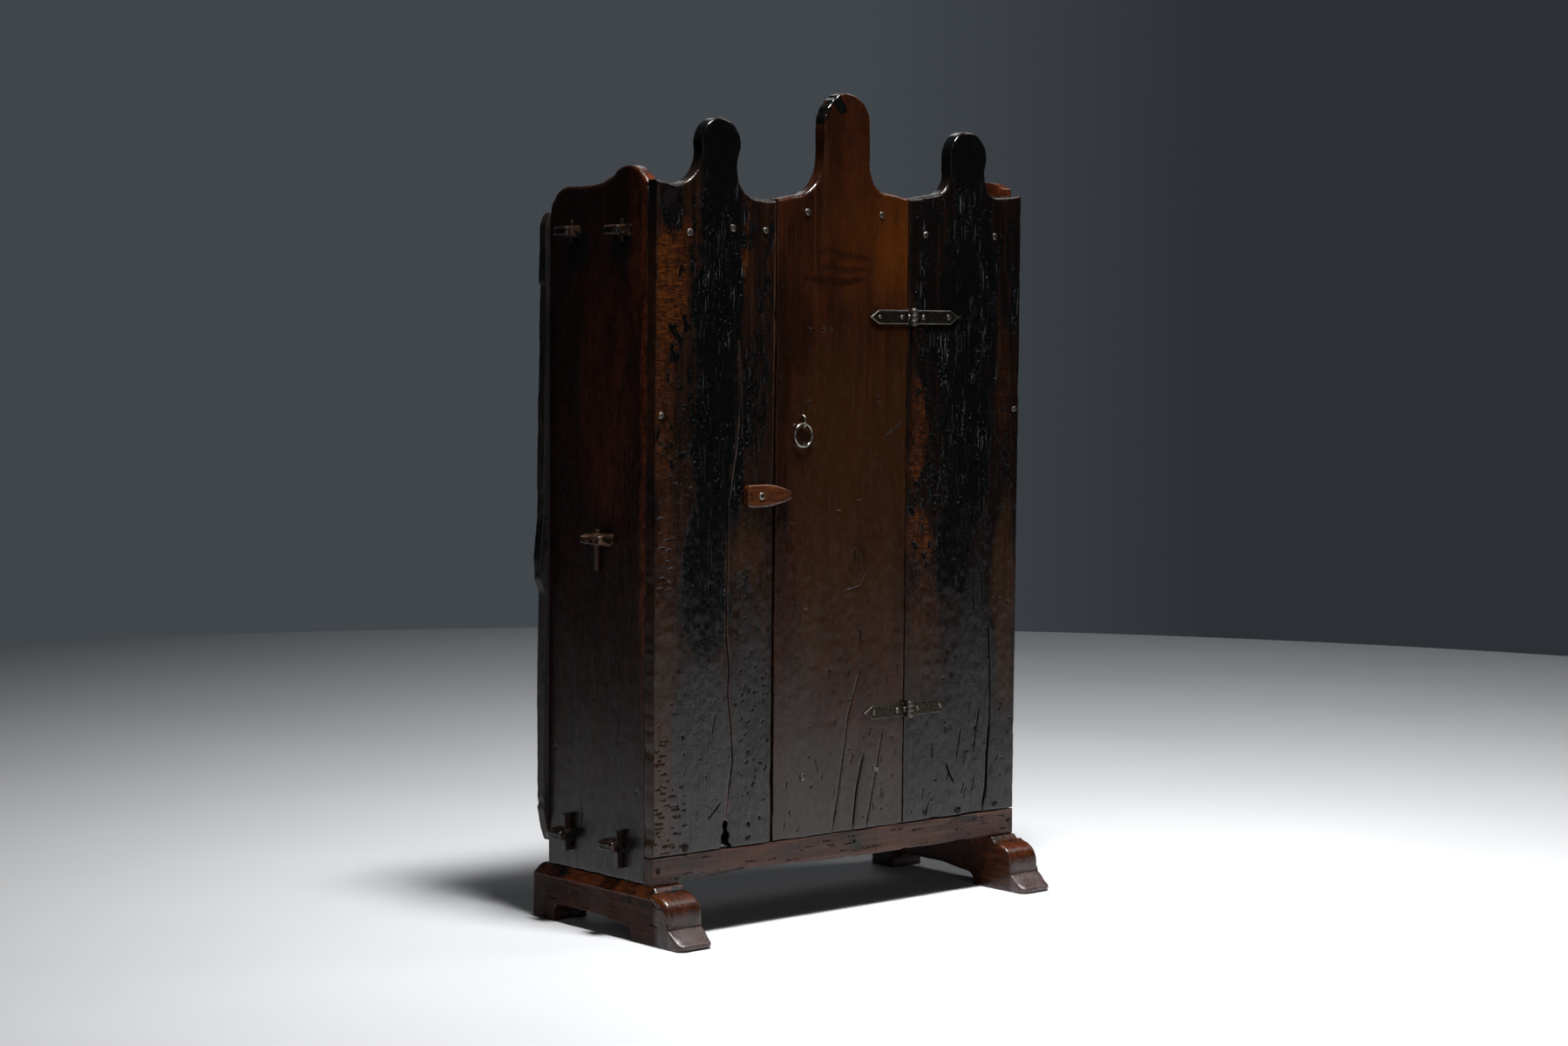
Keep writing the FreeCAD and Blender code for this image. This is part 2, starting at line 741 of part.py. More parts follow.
def make_foot(name, side):
    body = new_body(f"{name}_blank")
    outer = outer_x + d.foot_overhang
    left_x = outer - d.foot_width if side == RIGHT else -outer
    pad(body, draw(new_sketch(body, "YZ_Plane", left_x), foot_outline()), d.foot_width)
    # The broad chamfer along the top of the outer face stops at the ridge
    triangle = ((outer * side, d.foot_height - d.foot_chamfer_drop),
                (outer * side, d.foot_height),
                (outer_x * side, d.foot_height))
    chamfer = draw(new_sketch(body, "XZ_Plane", -front_y), triangle)
    pocket(body, chamfer)
    # The toe's two front corners are rounded in plan
    for x, inward in ((left_x, RIGHT), (left_x + d.foot_width, LEFT)):
        r, tip = d.toe_round, -foot_length / 2
        corner = draw(new_sketch(body, "XY_Plane"), (
            (x, tip), (x + r * inward, tip), (x, tip + r, r, -inward)))
        pocket(body, corner, reverse=True)
    # Mortises for the panel's stub tenons
    middle_x = (outer_x - d.panel_thickness / 2) * side
    half = d.stub_tenon_thickness / 2 + d.tenon_fit
    for front in stub_fronts():
        mortise = draw_box(new_sketch(body, "XY_Plane", d.foot_height),
                           (middle_x - half, front - d.tenon_fit),
                           (middle_x + half, front + d.stub_tenon_width + d.tenon_fit))
        pocket(body, mortise, d.stub_tenon_length + d.tenon_fit)
    nose_y = (front_y - d.nose_reach).number
    outer_side = (outer * side).number

    def is_nose_edge(edge):
        spot = edge.BoundBox
        on_outer_face = max(abs(spot.XMin - outer_side), abs(spot.XMax - outer_side))
        on_nose = abs(spot.YMin - nose_y)
        return max(on_outer_face, on_nose) < SAME_PLACE and spot.ZMin > d.toe_height.number

    bevel(body, d.nose_chamfer, is_nose_edge)
    return body


def foot_pegs(name, side):
    """Cleft pegs driven through the foot and the panel's stub tenons."""
    outer = outer_x + d.foot_overhang
    left_x = outer - d.foot_width if side == RIGHT else -outer
    pegs = []
    for front in stub_fronts():
        start = (left_x, front + d.stub_tenon_width / 2, d.peg_height)
        peg = doc.addObject("Part::Extrusion", "peg")
        peg.Base = facets(d.peg_radius, start, RIGHTWARD, PEG_FACETS)
        peg.DirMode = "Custom"
        peg.Dir = RIGHTWARD
        peg.Solid = True
        bind(peg, "LengthFwd", d.foot_width)
        pegs.append(peg)
    return node(name, group(name, pegs))


for word, side in (("left", LEFT), ("right", RIGHT)):
    pegs = foot_pegs(f"{word}_foot_pegs", side)
    node(f"{word}_foot", cut(make_foot(f"{word}_foot", side), pegs))
    panel = cut(make_panel(f"{word}_side_panel", side), pegs)
    for driven in (board_nails, apron_nails):
        panel = cut(panel, driven)
    node(f"{word}_side_panel", panel)


# Front boards with crests
def crest(head_x, head_z, head_radius, cove_radius, shoulder, side, straight):
    """Steps over half a crest, from the shoulder's end of the cove to the head's middle
    line, written for the right half and walked inward and up. A straight neck is as wide
    as the head; otherwise the cove runs straight into the head's circle."""
    cove_z = shoulder + cove_radius
    reach = head_radius + cove_radius
    if straight:
        cove_x = head_x + reach * side
        return ((cove_x, shoulder), (head_x + head_radius * side, cove_z, cove_radius, -1),
                (head_x + head_radius * side, head_z))
    fall = head_z - cove_z
    run = root(reach * reach - fall * fall)
    share = head_radius / reach
    return ((head_x + run * side, shoulder),
            (head_x + run * share * side, head_z - fall * share, cove_radius, -1))


def crest_board(name, left, width, head_share, head_rise, head_radius, left_half, right_half):
    """A front board: two straight edges, sloping shoulders and a round head on its neck."""
    right, head_x, head_z = left + width, left + width * head_share, top_face + head_rise
    left_cove, left_straight = left_half[0], left_half[3]
    right_cove, right_straight = right_half[0], right_half[3]
    left_shoulder, left_corner = top_face + left_half[1], top_face + left_half[2]
    right_shoulder, right_corner = top_face + right_half[1], top_face + right_half[2]
    up = crest(head_x, head_z, head_radius, right_cove, right_shoulder, RIGHT, right_straight)
    down = crest(head_x, head_z, head_radius, left_cove, left_shoulder, LEFT, left_straight)
    top = (head_x, head_z + head_radius, head_radius, 1)
    steps = [(left, boards_foot), (right, boards_foot), (right, right_corner)]
    steps += list(up) + [top]
    # The left half is walked outward and down, so each arc belongs to the step before it
    backward = list(down)[::-1]
    steps.append(backward[0][:2] + (head_radius, 1))
    for before, after in zip(backward, backward[1:]):
        steps.append(after[:2] + tuple(before[2:]))
    steps.append((left, left_corner))
    body = new_body(f"{name}_blank")
    pad(body, draw(new_sketch(body, "XZ_Plane", -panel_front_y), steps), d.board_thickness)
    return body


STRAIGHT, PINCHED = True, False
left_board = crest_board(
    "front_board_left", left_board_left, d.left_board_width,
    LEFT_HEAD_SHARE, d.left_head_rise, d.left_head_radius,
    (d.left_outer_cove, d.left_outer_shoulder, d.left_outer_corner, PINCHED),
    (d.left_inner_cove, d.left_inner_shoulder, d.left_inner_corner, PINCHED))
door_board = crest_board(
    "door_board", door_left, d.door_width,
    DOOR_HEAD_SHARE, d.door_head_rise, d.door_head_radius,
    (d.door_latch_cove, d.door_latch_shoulder, d.door_latch_corner, STRAIGHT),
    (d.door_hinge_cove, d.door_hinge_shoulder, d.door_hinge_corner, STRAIGHT))
right_board = crest_board(
    "front_board_right", right_board_left, d.right_board_width,
    RIGHT_HEAD_SHARE, d.right_head_rise, d.right_head_radius,
    (d.right_inner_cove, d.right_inner_shoulder, d.right_inner_corner, STRAIGHT),
    (d.right_outer_cove, d.right_outer_shoulder, d.right_outer_corner, PINCHED))


# Apron
def apron_outline():
    """The apron's front: a deep block at the left, a double curve and a long taper."""
    bottom = d.foot_height
    block = left_board_left + d.apron_block
    sweep_end = block + d.apron_sweep
    raised = bottom + d.apron_rise
    radius = (d.apron_sweep * d.apron_sweep + d.apron_rise * d.apron_rise) / (d.apron_rise * 4)
    return (
        (left_board_left, bottom),
        (block, bottom),
        (block + d.apron_sweep / 2, bottom + d.apron_rise / 2, radius, 1),
        (sweep_end, raised, radius, -1),
        (sweep_end + d.apron_taper, bottom),
        (outer_x, bottom),
        (outer_x, apron_top),
        (left_board_left, apron_top),
    )


apron = new_body("apron_blank")
pad(apron, draw(new_sketch(apron, "XZ_Plane", -panel_front_y), apron_outline()),
    d.board_thickness)
node("apron", cut(apron, apron_nails))


# Back boards
def make_back_board(name, left, width):
    foot, top = bottom_level - d.back_drop, top_face + d.back_rise
    steps = [(left + width, foot), (left + width, top)]
    if name == "back_board_left":
        steps += [(left - d.live_edge_reach * reach, foot + (top - foot) * up)
                  for up, reach in reversed(LIVE_EDGE_SHARES)]
        steps.insert(2, (left, top))
    else:
        steps += [(left, top), (left, foot)]
    body = new_body(f"{name}_blank")
    pad(body, draw(new_sketch(body, "XZ_Plane", -(back_y + d.back_thickness)), steps),
        d.back_thickness)
    return body


for name, (left, width) in BACK_BOARDS.items():
    node(name, cut(make_back_board(name, left, width), back_nails))


# Door battens and the nails that hold them
def make_batten(name, middle_z):
    face = panel_front_y
    rear = face + d.batten_thickness
    body = new_body(f"{name}_blank")
    steps = ((batten_left, face), (batten_right, face),
             (batten_right - d.batten_bevel, rear), (batten_left + d.batten_bevel, rear))
    pad(body, draw(new_sketch(body, "XY_Plane", middle_z - d.batten_height / 2), steps),
        d.batten_height)
    return body


batten_left, batten_right = door_left + d.batten_margin, door_right - d.batten_margin
batten_levels = {"door_batten_top": top_face + d.top_batten_rise,
                 "door_batten_bottom": bottom_level + d.shelf_thickness + d.bottom_batten_rise}
door_nails = nail_group(
    "door_nails",
    [(batten_left + (batten_right - batten_left) * across, front_y, level)
     for level in batten_levels.values()
     for across in BATTEN_NAIL_SHARES],
    BACKWARD, length=d.board_thickness + d.batten_thickness)
for name, level in batten_levels.items():
    node(name, cut(make_batten(name, level), door_nails))


# Strap hinges
def make_leaf(name, reach, side, level, knuckles):
    """A pointed strap whose fingers run to barrel knuckles, bored for the pin.
    Each knuckle is given by its finger's low and high ends, then its barrel's."""
    half = d.strap_height / 2
    body = new_body(f"{name}_blank")
    stop = pin_x + (d.barrel_radius + d.knuckle_gap) * side
    tip = pin_x + reach * side
    shoulder = tip - d.strap_point * side
    strap = ((stop, level - half), (shoulder, level - half), (tip, level),
             (shoulder, level + half), (stop, level + half))
    pad(body, draw(new_sketch(body, "XZ_Plane", -front_y), strap), d.strap_thickness)
    for finger_low, finger_high, barrel_low, barrel_high in knuckles:
        finger = draw_box(new_sketch(body, "XZ_Plane", d.barrel_clearance - front_y),
                          (pin_x, finger_low), (stop, finger_high))
        pad(body, finger, d.strap_thickness - d.barrel_clearance)
        barrel = draw_circle(new_sketch(body, "XY_Plane", barrel_low), (pin_x, pin_y),
                             d.barrel_radius)
        pad(body, barrel, barrel_high - barrel_low)
    bore = draw_circle(new_sketch(body, "XY_Plane", level - d.barrel_height),
                       (pin_x, pin_y), d.pin_radius + d.pin_fit)
    pocket(body, bore, reverse=True)
    return body


def make_pin(name, low, high):
    """A pin through the knuckles, riveted over at both ends."""
    ends = [hammered_head(d.pin_head_radius, d.pin_radius, d.pin_head_height,
                          (pin_x, pin_y, z), direction)
            for z, direction in ((low, UP * -1), (high, UP))]
    shank = round_bar("pin", d.pin_radius, high - low, (pin_x, pin_y, low), UP)
    return node(name, fused(name, [shank] + ends))


leaves = {}
strap_nail_places = {"door": [], "case": []}
for word, level, reaches in (
        ("upper", top_face - d.upper_hinge_drop, (d.upper_door_reach, d.upper_case_reach)),
        ("lower", d.lower_hinge_height, (d.lower_door_reach, d.lower_case_reach))):
    half_strap, half_barrel = d.strap_height / 2, d.barrel_height / 2
    half_knuckle = d.knuckle_height / 2
    outer_start = half_knuckle + d.knuckle_gap
    make_pin(f"{word}_hinge_pin", level - half_barrel, level + half_barrel)
    knuckle_sets = {
        "door": ((level - half_knuckle, level + half_knuckle,
                  level - half_knuckle, level + half_knuckle),),
        "case": ((level - half_strap, level - outer_start,
                  level - half_barrel, level - outer_start),
                 (level + outer_start, level + half_strap,
                  level + outer_start, level + half_barrel)),
    }
    for part, side, reach in (("door", LEFT, reaches[0]), ("case", RIGHT, reaches[1])):
        name = f"{word}_hinge_{part}_leaf"
        leaves[name] = (part, make_leaf(name, reach, side, level, knuckle_sets[part]))
        strap_nail_places[part] += [
            (pin_x + reach * share * side, front_y - d.strap_thickness, level)
            for share in STRAP_NAIL_SHARES]
hinge_nails = {
    part: nail_group(f"hinge_nails_{part}", places, BACKWARD, length=d.strap_nail_length,
                     head_radius=d.strap_nail_head_radius)
    for part, places in strap_nail_places.items()}
for name, (part, leaf) in leaves.items():
    node(name, cut(leaf, hinge_nails[part]))


# Ring pull and its staple
ring_x = door_left + d.ring_setback
ring_y = front_y - d.ring_standoff
ring = doc.addObject("Part::Revolution", "pull_ring")
ring.Source = facets(d.ring_wire, (ring_x, ring_y, d.ring_height), RIGHTWARD, WIRE_FACETS)
ring.Axis = FORWARD
bind(ring, "Base.x", ring_x)
bind(ring, "Base.y", ring_y)
bind(ring, "Base.z", d.ring_height - d.ring_radius)
ring.Angle = FULL_TURN
ring.Solid = True
node("pull_ring", ring)


def make_staple():
    """A square wire staple round the ring, through the door, its ends clenched behind."""
    body = new_body("ring_staple")
    r, bend = d.staple_radius, d.staple_bend
    high, low = d.ring_height + r, d.ring_height - r
    bend_y = panel_front_y - d.staple_bury
    clench_y = bend_y + bend
    path = new_sketch(body, "YZ_Plane", ring_x)
    ends = ((clench_y, high + bend + d.staple_clench), (clench_y, high + bend),
            (bend_y, high), (ring_y, high), (ring_y - r, d.ring_height), (ring_y, low),
            (bend_y, low), (clench_y, low - bend), (clench_y, low - bend - d.staple_clench))
    arcs = {2: (bend, -1), 4: (r, 1), 5: (r, 1), 7: (bend, -1)}
    draw_open(path, ends, arcs)
    half = d.staple_wire / 2
    profile = draw_box(new_sketch(body, "XY_Plane", high + bend + d.staple_clench),
                       (ring_x - half, clench_y - half), (ring_x + half, clench_y + half))
    sweep = body.newObject("PartDesign::AdditivePipe", "wire")
    sweep.Profile = profile
    sweep.Spine = path
    doc.recompute()
    return body


def draw_open(sketch, ends, arcs):
    """Draws an open path through ends; arcs gives radius and turn by the arc's last end."""
    points = [FreeCAD.Vector(as_size(x).number, as_size(y).number, 0) for x, y in ends]
    before = None
    for index in range(1, len(ends)):
        if index in arcs:
            radius, turn = arcs[index]
            edge = sketch.addGeometry(
                arc_geometry(points[index - 1], points[index], radius.number, turn))
            start, end = (1, 2) if turn > 0 else (2, 1)
            place = sketch.addConstraint(Sketcher.Constraint("Radius", edge, radius.number))
            sketch.setExpression(f"Constraints[{place}]", radius.formula)
        else:
            edge = sketch.addGeometry(Part.LineSegment(points[index - 1], points[index]))
            start, end = 1, 2
        if before is None:
            fix_point(sketch, edge, start, ends[0])
        else:
            sketch.addConstraint(
                Sketcher.Constraint("Coincident", before[0], before[1], edge, start))
        fix_point(sketch, edge, end, ends[index])
        before = (edge, end)
    return sketch


staple = node("ring_staple", make_staple())
door = cut(door_board, door_nails)
for driven in (hinge_nails["door"], staple):
    door = cut(door, driven)
node("door_board", door)


# Turn button
button_x = left_board_right - d.button_setback
button_back = front_y - d.button_clearance
button_face = button_back - d.button_thickness


def make_button():
    """A long turn button, square at the screw and drawn in to a blunt tip."""
    body = new_body("turn_button")
    heel = button_x - d.button_pivot
    tip = heel + d.button_length
    half, tip_half, corner = d.button_height / 2, d.button_tip_height / 2, d.button_corner
    level = d.button_level
    steps = ((button_x, level - half),
             (tip, level - tip_half, d.button_flank_radius, 1),
             (tip, level + tip_half),
             (button_x, level + half, d.button_flank_radius, 1),
             (heel + corner, level + half),
             (heel, level + half - corner, corner, 1),
             (heel, level - half + corner),
             (heel + corner, level - half, corner, 1))
    pad(body, draw(new_sketch(body, "XZ_Plane", -button_back), steps), d.button_thickness)
    face = button_face.number
    bevel(body, d.button_edge,
          lambda edge: abs(edge.BoundBox.YMin - face) < SAME_PLACE
          and abs(edge.BoundBox.YMax - face) < SAME_PLACE)
    hole = draw_circle(new_sketch(body, "XZ_Plane", -front_y), (button_x, level),
                       d.screw_radius + d.screw_fit)
    pocket(body, hole, reverse=True)
    return body


node("turn_button", make_button())
washer_face = button_face - d.washer_thickness
washer = new_body("turn_button_washer")
pad(washer, draw_circle(new_sketch(washer, "XZ_Plane", -button_face),
                        (button_x, d.button_level), d.washer_radius), d.washer_thickness)
pocket(washer, draw_circle(new_sketch(washer, "XZ_Plane", -button_face),
                           (button_x, d.button_level), d.screw_radius + d.screw_fit),
       reverse=True)
node("turn_button_washer", washer)
screw_top = (button_x, washer_face, d.button_level)
screw = node("turn_button_screw", fused("turn_button_screw", [
    round_bar("shank", d.screw_radius, d.screw_length, screw_top, BACKWARD),
    hammered_head(d.screw_head_radius, d.screw_radius, d.screw_head_height,
                  screw_top, FORWARD)]))

left_front = cut(cut(left_board, board_nails), screw)
node("front_board_left", left_front)
right_front = cut(cut(right_board, board_nails), hinge_nails["case"])
node("front_board_right", right_front)


# Every object has to be sound before anything is written
doc.recompute()
failed = [f"{thing.Label}: {thing.State}" for thing in doc.Objects
          if "Invalid" in thing.State or "Error" in thing.State]
for name, thing in nodes.items():
    if thing.Shape.isNull() or not thing.Shape.isValid() or not thing.Shape.Solids:
        failed.append(f"{name}: no valid solid")
if failed:
    raise RuntimeError("; ".join(failed))
os.makedirs("parts", exist_ok=True)
for name, thing in nodes.items():
    thing.Shape.exportStep(f"parts/{name}.step")
print(f"{len(nodes)} pieces written")
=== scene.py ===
# %% [markdown]
# # An old cabinet of split boards
# The real object is a small cupboard with three thick, dark, oiled boards across its front, a round
# head carved on each, and two heavy sledge feet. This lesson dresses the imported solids: every board
# is made again with its wear, and the frame tells where each piece stands.

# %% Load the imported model
import math
import bmesh
import bpy
import numpy as np
from mathutils import Matrix, Vector
from mathutils.geometry import delaunay_2d_cdt


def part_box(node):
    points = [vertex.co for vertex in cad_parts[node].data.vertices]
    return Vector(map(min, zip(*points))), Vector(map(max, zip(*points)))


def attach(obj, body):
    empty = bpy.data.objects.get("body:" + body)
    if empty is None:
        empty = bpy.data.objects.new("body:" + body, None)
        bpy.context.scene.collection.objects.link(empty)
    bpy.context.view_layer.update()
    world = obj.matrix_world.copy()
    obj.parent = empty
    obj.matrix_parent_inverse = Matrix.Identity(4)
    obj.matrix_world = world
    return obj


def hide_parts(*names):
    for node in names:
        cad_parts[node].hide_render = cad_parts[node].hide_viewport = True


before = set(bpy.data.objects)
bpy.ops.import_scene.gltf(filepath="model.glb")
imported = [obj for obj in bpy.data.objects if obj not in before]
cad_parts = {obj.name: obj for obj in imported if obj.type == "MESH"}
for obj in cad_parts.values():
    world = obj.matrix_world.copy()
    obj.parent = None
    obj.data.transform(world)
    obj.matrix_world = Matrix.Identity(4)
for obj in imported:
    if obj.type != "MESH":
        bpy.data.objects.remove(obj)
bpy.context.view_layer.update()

# %% [markdown]
# ## Camera, floor and light
# The photograph was taken from the front left, a little below the cabinet's top, with a long lens.
# A camera fitted to the corners of the real piece gives the angles below. The floor is a pale round
# sheet, so that the dim room shows above its far edge, and the old wax mirrors its paleness near the
# feet, as the photograph shows.

# %% Objects are made and linked in one step
def new_object(name, data):
    """An object that carries the data, linked to the scene."""
    made = bpy.data.objects.new(name, data)
    bpy.context.scene.collection.objects.link(made)
    return made

# %% The camera at the photograph's angle
CAMERA_PLACE = Vector((-3.4849, -3.9131, 1.0298))
CAMERA_TURN = math.radians(41.33)
CAMERA_DIP = math.radians(3.93)
CAMERA_ROLL = 0.0089
LENS_MM = 69.09
look = Vector((math.sin(CAMERA_TURN) * math.cos(CAMERA_DIP), math.cos(CAMERA_TURN) * math.cos(CAMERA_DIP),
               -math.sin(CAMERA_DIP)))
level_right = Vector((math.cos(CAMERA_TURN), -math.sin(CAMERA_TURN), 0))
level_up = level_right.cross(look)
right = math.cos(CAMERA_ROLL) * level_right + math.sin(CAMERA_ROLL) * level_up
up = -math.sin(CAMERA_ROLL) * level_right + math.cos(CAMERA_ROLL) * level_up
camera_data = bpy.data.cameras.new("view_camera")
camera_data.lens = LENS_MM
camera_data.sensor_width = 36
camera = new_object("view_camera", camera_data)
camera.matrix_world = Matrix((
    (right.x, up.x, -look.x, CAMERA_PLACE.x),
    (right.y, up.y, -look.y, CAMERA_PLACE.y),
    (right.z, up.z, -look.z, CAMERA_PLACE.z),
    (0, 0, 0, 1)))
bpy.context.scene.camera = camera
bpy.context.scene.view_settings.view_transform = "Standard"
print("camera at", [round(v, 3) for v in camera.location], "lens", LENS_MM)

# %% Colours are written as sRGB and turned to linear once
def paint(code):
    """An sRGB hex colour as the linear colour that Blender's sockets take."""
    levels = [int(code[i:i + 2], 16) / 255 for i in (1, 3, 5)]
    return tuple(v / 12.92 if v <= 0.04045 else ((v + 0.055) / 1.055) ** 2.4 for v in levels) + (1.0,)


print("middle grey in linear light:", round(paint("#808080")[0], 3))

# %% One small function adds a node with its settings and links
def add(tree, kind, links=None, **settings):
    """Adds a node. Settings that name an attribute set it; links give a socket a value or a link."""
    made = tree.nodes.new(kind)
    for key, value in settings.items():
        setattr(made, key, value)
    for key, value in (links or {}).items():
        socket = made.inputs[key]
        if isinstance(value, bpy.types.NodeSocket):
            tree.links.new(value, socket)
        else:
            socket.default_value = value
    return made

# %% A table of rows becomes a tree
RANGE, MATH, MIX = "ShaderNodeMapRange", "ShaderNodeMath", "ShaderNodeMix"
NOISE, MASK, BUMP = "ShaderNodeTexNoise", "ShaderNodeAttribute", "ShaderNodeBump"
RESULT = {"ShaderNodeTexCoord": 0, "ShaderNodeVectorMath": 1, MIX: 2, MASK: 2}
TIMES, PLUS = {"operation": "MULTIPLY"}, {"operation": "ADD"}
TIMES_PLUS, DOT = {"operation": "MULTIPLY_ADD"}, {"operation": "DOT_PRODUCT"}
COLOURS = {"data_type": "RGBA"}


def grow(tree, rows, start):
    """Adds a node for each row (title, kind, links, settings); a link can be an earlier row's title."""
    results = dict(start)
    for title, kind, links, *settings in rows:
        joined = {key: results[value] if isinstance(value, str) else value for key, value in links.items()}
        made = add(tree, kind, joined, **(settings[0] if settings else {}))
        results[title] = made.outputs[RESULT.get(kind, 0)]
    return results


print("nodes whose result isn't their first output:", [kind for kind, place in RESULT.items() if place])

# %% A material starts from one shader and reads the object's own coordinates
def new_material(name, rows, sockets):
    """A material grown from rows. Sockets pairs the shader's sockets with the rows that feed them."""
    material = bpy.data.materials.new(name)
    material.use_nodes = True
    tree = material.node_tree
    tree.nodes.clear()
    shader = add(tree, "ShaderNodeBsdfPrincipled")
    add(tree, "ShaderNodeOutputMaterial", {"Surface": shader.outputs["BSDF"]})
    place = add(tree, "ShaderNodeTexCoord").outputs["Object"]
    made = grow(tree, rows, {"place": place})
    for socket, title in sockets.items():
        tree.links.new(made[title], shader.inputs[socket])
    return material, shader

# %% The pale floor sheet
FLOOR_RADIUS = 4.7
FLOOR_CORNERS = 180
floor_mesh = bpy.data.meshes.new("floor_sheet")
turns = np.linspace(0, 2 * math.pi, FLOOR_CORNERS + 1)[:-1]
sheet = [(FLOOR_RADIUS * math.cos(a), FLOOR_RADIUS * math.sin(a), 0) for a in turns]
floor_mesh.from_pydata(sheet, [], [list(range(FLOOR_CORNERS))])
floor = new_object("floor_sheet", floor_mesh)
# Studio paper: matt, with a faint haze of two pale greys.
floor_material, floor_shader = new_material("studio_floor_paper", [
    ("haze", NOISE, {"Vector": "place", "Scale": 1.3, "Detail": 3.0}),
    ("tone", MIX, {0: "haze", 6: paint("#c9cacc"), 7: paint("#d6d7d9")}, COLOURS)], {"Base Color": "tone"})
floor_shader.inputs["Roughness"].default_value = 0.8
floor_mesh.materials.append(floor_material)
print("floor radius", FLOOR_RADIUS, "m")

# %% The dim room: grey behind the cabinet, darker to the right and behind the camera
BEHIND_CABINET = (0.66, 0.75, 0.0)
RIGHT_OF_CABINET = (0.75, -0.66, 0.0)
world = bpy.data.worlds.new("dim_room")
world.use_nodes = True
room = grow(world.node_tree, [
    ("toward", "ShaderNodeTexCoord", {}),
    ("ahead", "ShaderNodeVectorMath", {0: "toward", 1: BEHIND_CABINET}, DOT),
    ("across", "ShaderNodeVectorMath", {0: "toward", 1: RIGHT_OF_CABINET}, DOT),
    ("wall", RANGE, {"Value": "ahead", "From Min": 0.1, "From Max": 0.9}),
    ("right wall", RANGE, {"Value": "across", "From Min": 0.02, "From Max": 0.14}),
    ("grey", MIX, {0: "right wall", 6: paint("#41464b"), 7: paint("#2c3034")}, COLOURS),
    ("tone", MIX, {0: "wall", 6: paint("#101214"), 7: "grey"}, COLOURS)], {})
world.node_tree.links.new(room["tone"], world.node_tree.nodes["Background"].inputs[0])
bpy.context.scene.world = world
print("room nodes:", list(room))

# %% The soft lamps
def soft_lamp(name, place, aim, wide, high, power, spread=180):
    """A rectangular soft lamp at place, turned to aim, its beam narrowed to spread (degrees)."""
    data = bpy.data.lights.new(name, "AREA")
    data.shape = "RECTANGLE"
    data.size = wide
    data.size_y = high
    data.energy = power
    data.spread = math.radians(spread)
    lamp = new_object(name, data)
    lamp.location = place
    lamp.rotation_mode = "QUATERNION"
    lamp.rotation_quaternion = (Vector(aim) - Vector(place)).to_track_quat("-Z", "Y")


soft_lamp("overhead_softbox", (-0.35, -1.0, 4.2), (0.5, -0.6, 0.0), 0.7, 0.7, 95, 94)
soft_lamp("right_softbox", (3.2, -1.2, 4.0), (0, 0, 0.4), 1.4, 1.4, 34)
soft_lamp("front_fill", (-2.8, -7.4, 1.5), (0, 0, 0.9), 3.4, 2.6, 40)
soft_lamp("left_fill", (-5.5, -1.0, 3.4), (0, 0, 0.8), 1.6, 1.6, 6)
soft_lamp("back_fill", (3.0, 3.6, 4.0), (0, 0, 0.8), 2.0, 2.0, 16)

# %% [markdown]
# ## What wears a board
# The real boards were split and hewn, burnt, oiled and rubbed for generations. Their faces carry
# shallow waves, fine ridges along the grain, gouges, cracks, pits and old nail holes. Heights from
# smooth random noise make the waves and the ridges, and listed strokes make the rest, because
# they must lie where the photograph shows them. Lengths are in millimetres up to the last step.

# %% Smooth random heights
NOISE_TABLE = np.random.default_rng(7).uniform(-1, 1, 4096)


def soft_noise(place, size, seed):
    """Smooth heights from -1 to 1 at each place, with about one bump in each size (millimetres)."""
    grid = place / np.asarray(size, float) + seed * 17.31
    cell = np.floor(grid).astype(np.int64)
    part = grid - cell
    part = part * part * (3 - 2 * part)
    total = np.zeros(len(place))
    for corner in range(8):
        step = np.array([corner & 1, corner >> 1 & 1, corner >> 2 & 1])
        near = cell + step
        pick = near[:, 0] * 73856093 ^ near[:, 1] * 19349663 ^ near[:, 2] * 83492791
        share = np.prod(np.where(step, part, 1 - part), axis=1)
        total += NOISE_TABLE[pick & 4095] * share
    return total


print("noise sample:", np.round(soft_noise(np.array([[0., 0, 0], [5, 5, 5]]), 10, 1), 3))

# %% How far points lie from a line of strokes
def line_distance(spots, line):
    """Distance of each spot (u, v) from a line of points, and how far along the line it is (0 to 1)."""
    best = np.full(len(spots), 1e9)
    along = np.zeros(len(spots))
    line = np.asarray(line, float)
    lengths = np.linalg.norm(np.diff(line, axis=0), axis=1)
    start = np.concatenate([[0], np.cumsum(lengths)])
    for k in range(len(line) - 1):
        run = line[k + 1] - line[k]
        t = np.clip(((spots - line[k]) @ run) / max(run @ run, 1e-9), 0, 1)
        gap = np.linalg.norm(spots - line[k] - t[:, None] * run, axis=1)
        near = gap < best
        best[near] = gap[near]
        along[near] = (start[k] + t[near] * lengths[k]) / start[-1]
    return best, along


print("a spot 3 mm beside a line:", line_distance(np.array([[3.0, 5.0]]), [(0, 0), (0, 10)])[0])

# %% Soft patches of stain, such as soot or amber wax
def stain(place, flat, patches, seed, ragged=14.0):
    """0 to 1 over the surface: patches are (u, v, half width, half height, strength), edges ragged."""
    shift_u = soft_noise(place, (26, 26, 60), seed) * ragged + soft_noise(place, (9, 9, 22), seed + 3) * 4
    shift_v = soft_noise(place, (40, 40, 90), seed + 1) * ragged * 2.5
    total = np.zeros(len(place))
    for u, v, wide, high, strength in patches:
        reach = ((flat[:, 0] + shift_u - u) / wide) ** 2 + ((flat[:, 1] + shift_v - v) / high) ** 2
        total = np.maximum(total, strength * np.clip(1.5 - 0.8 * reach, 0, 1))
    return np.clip(total, 0, 1)


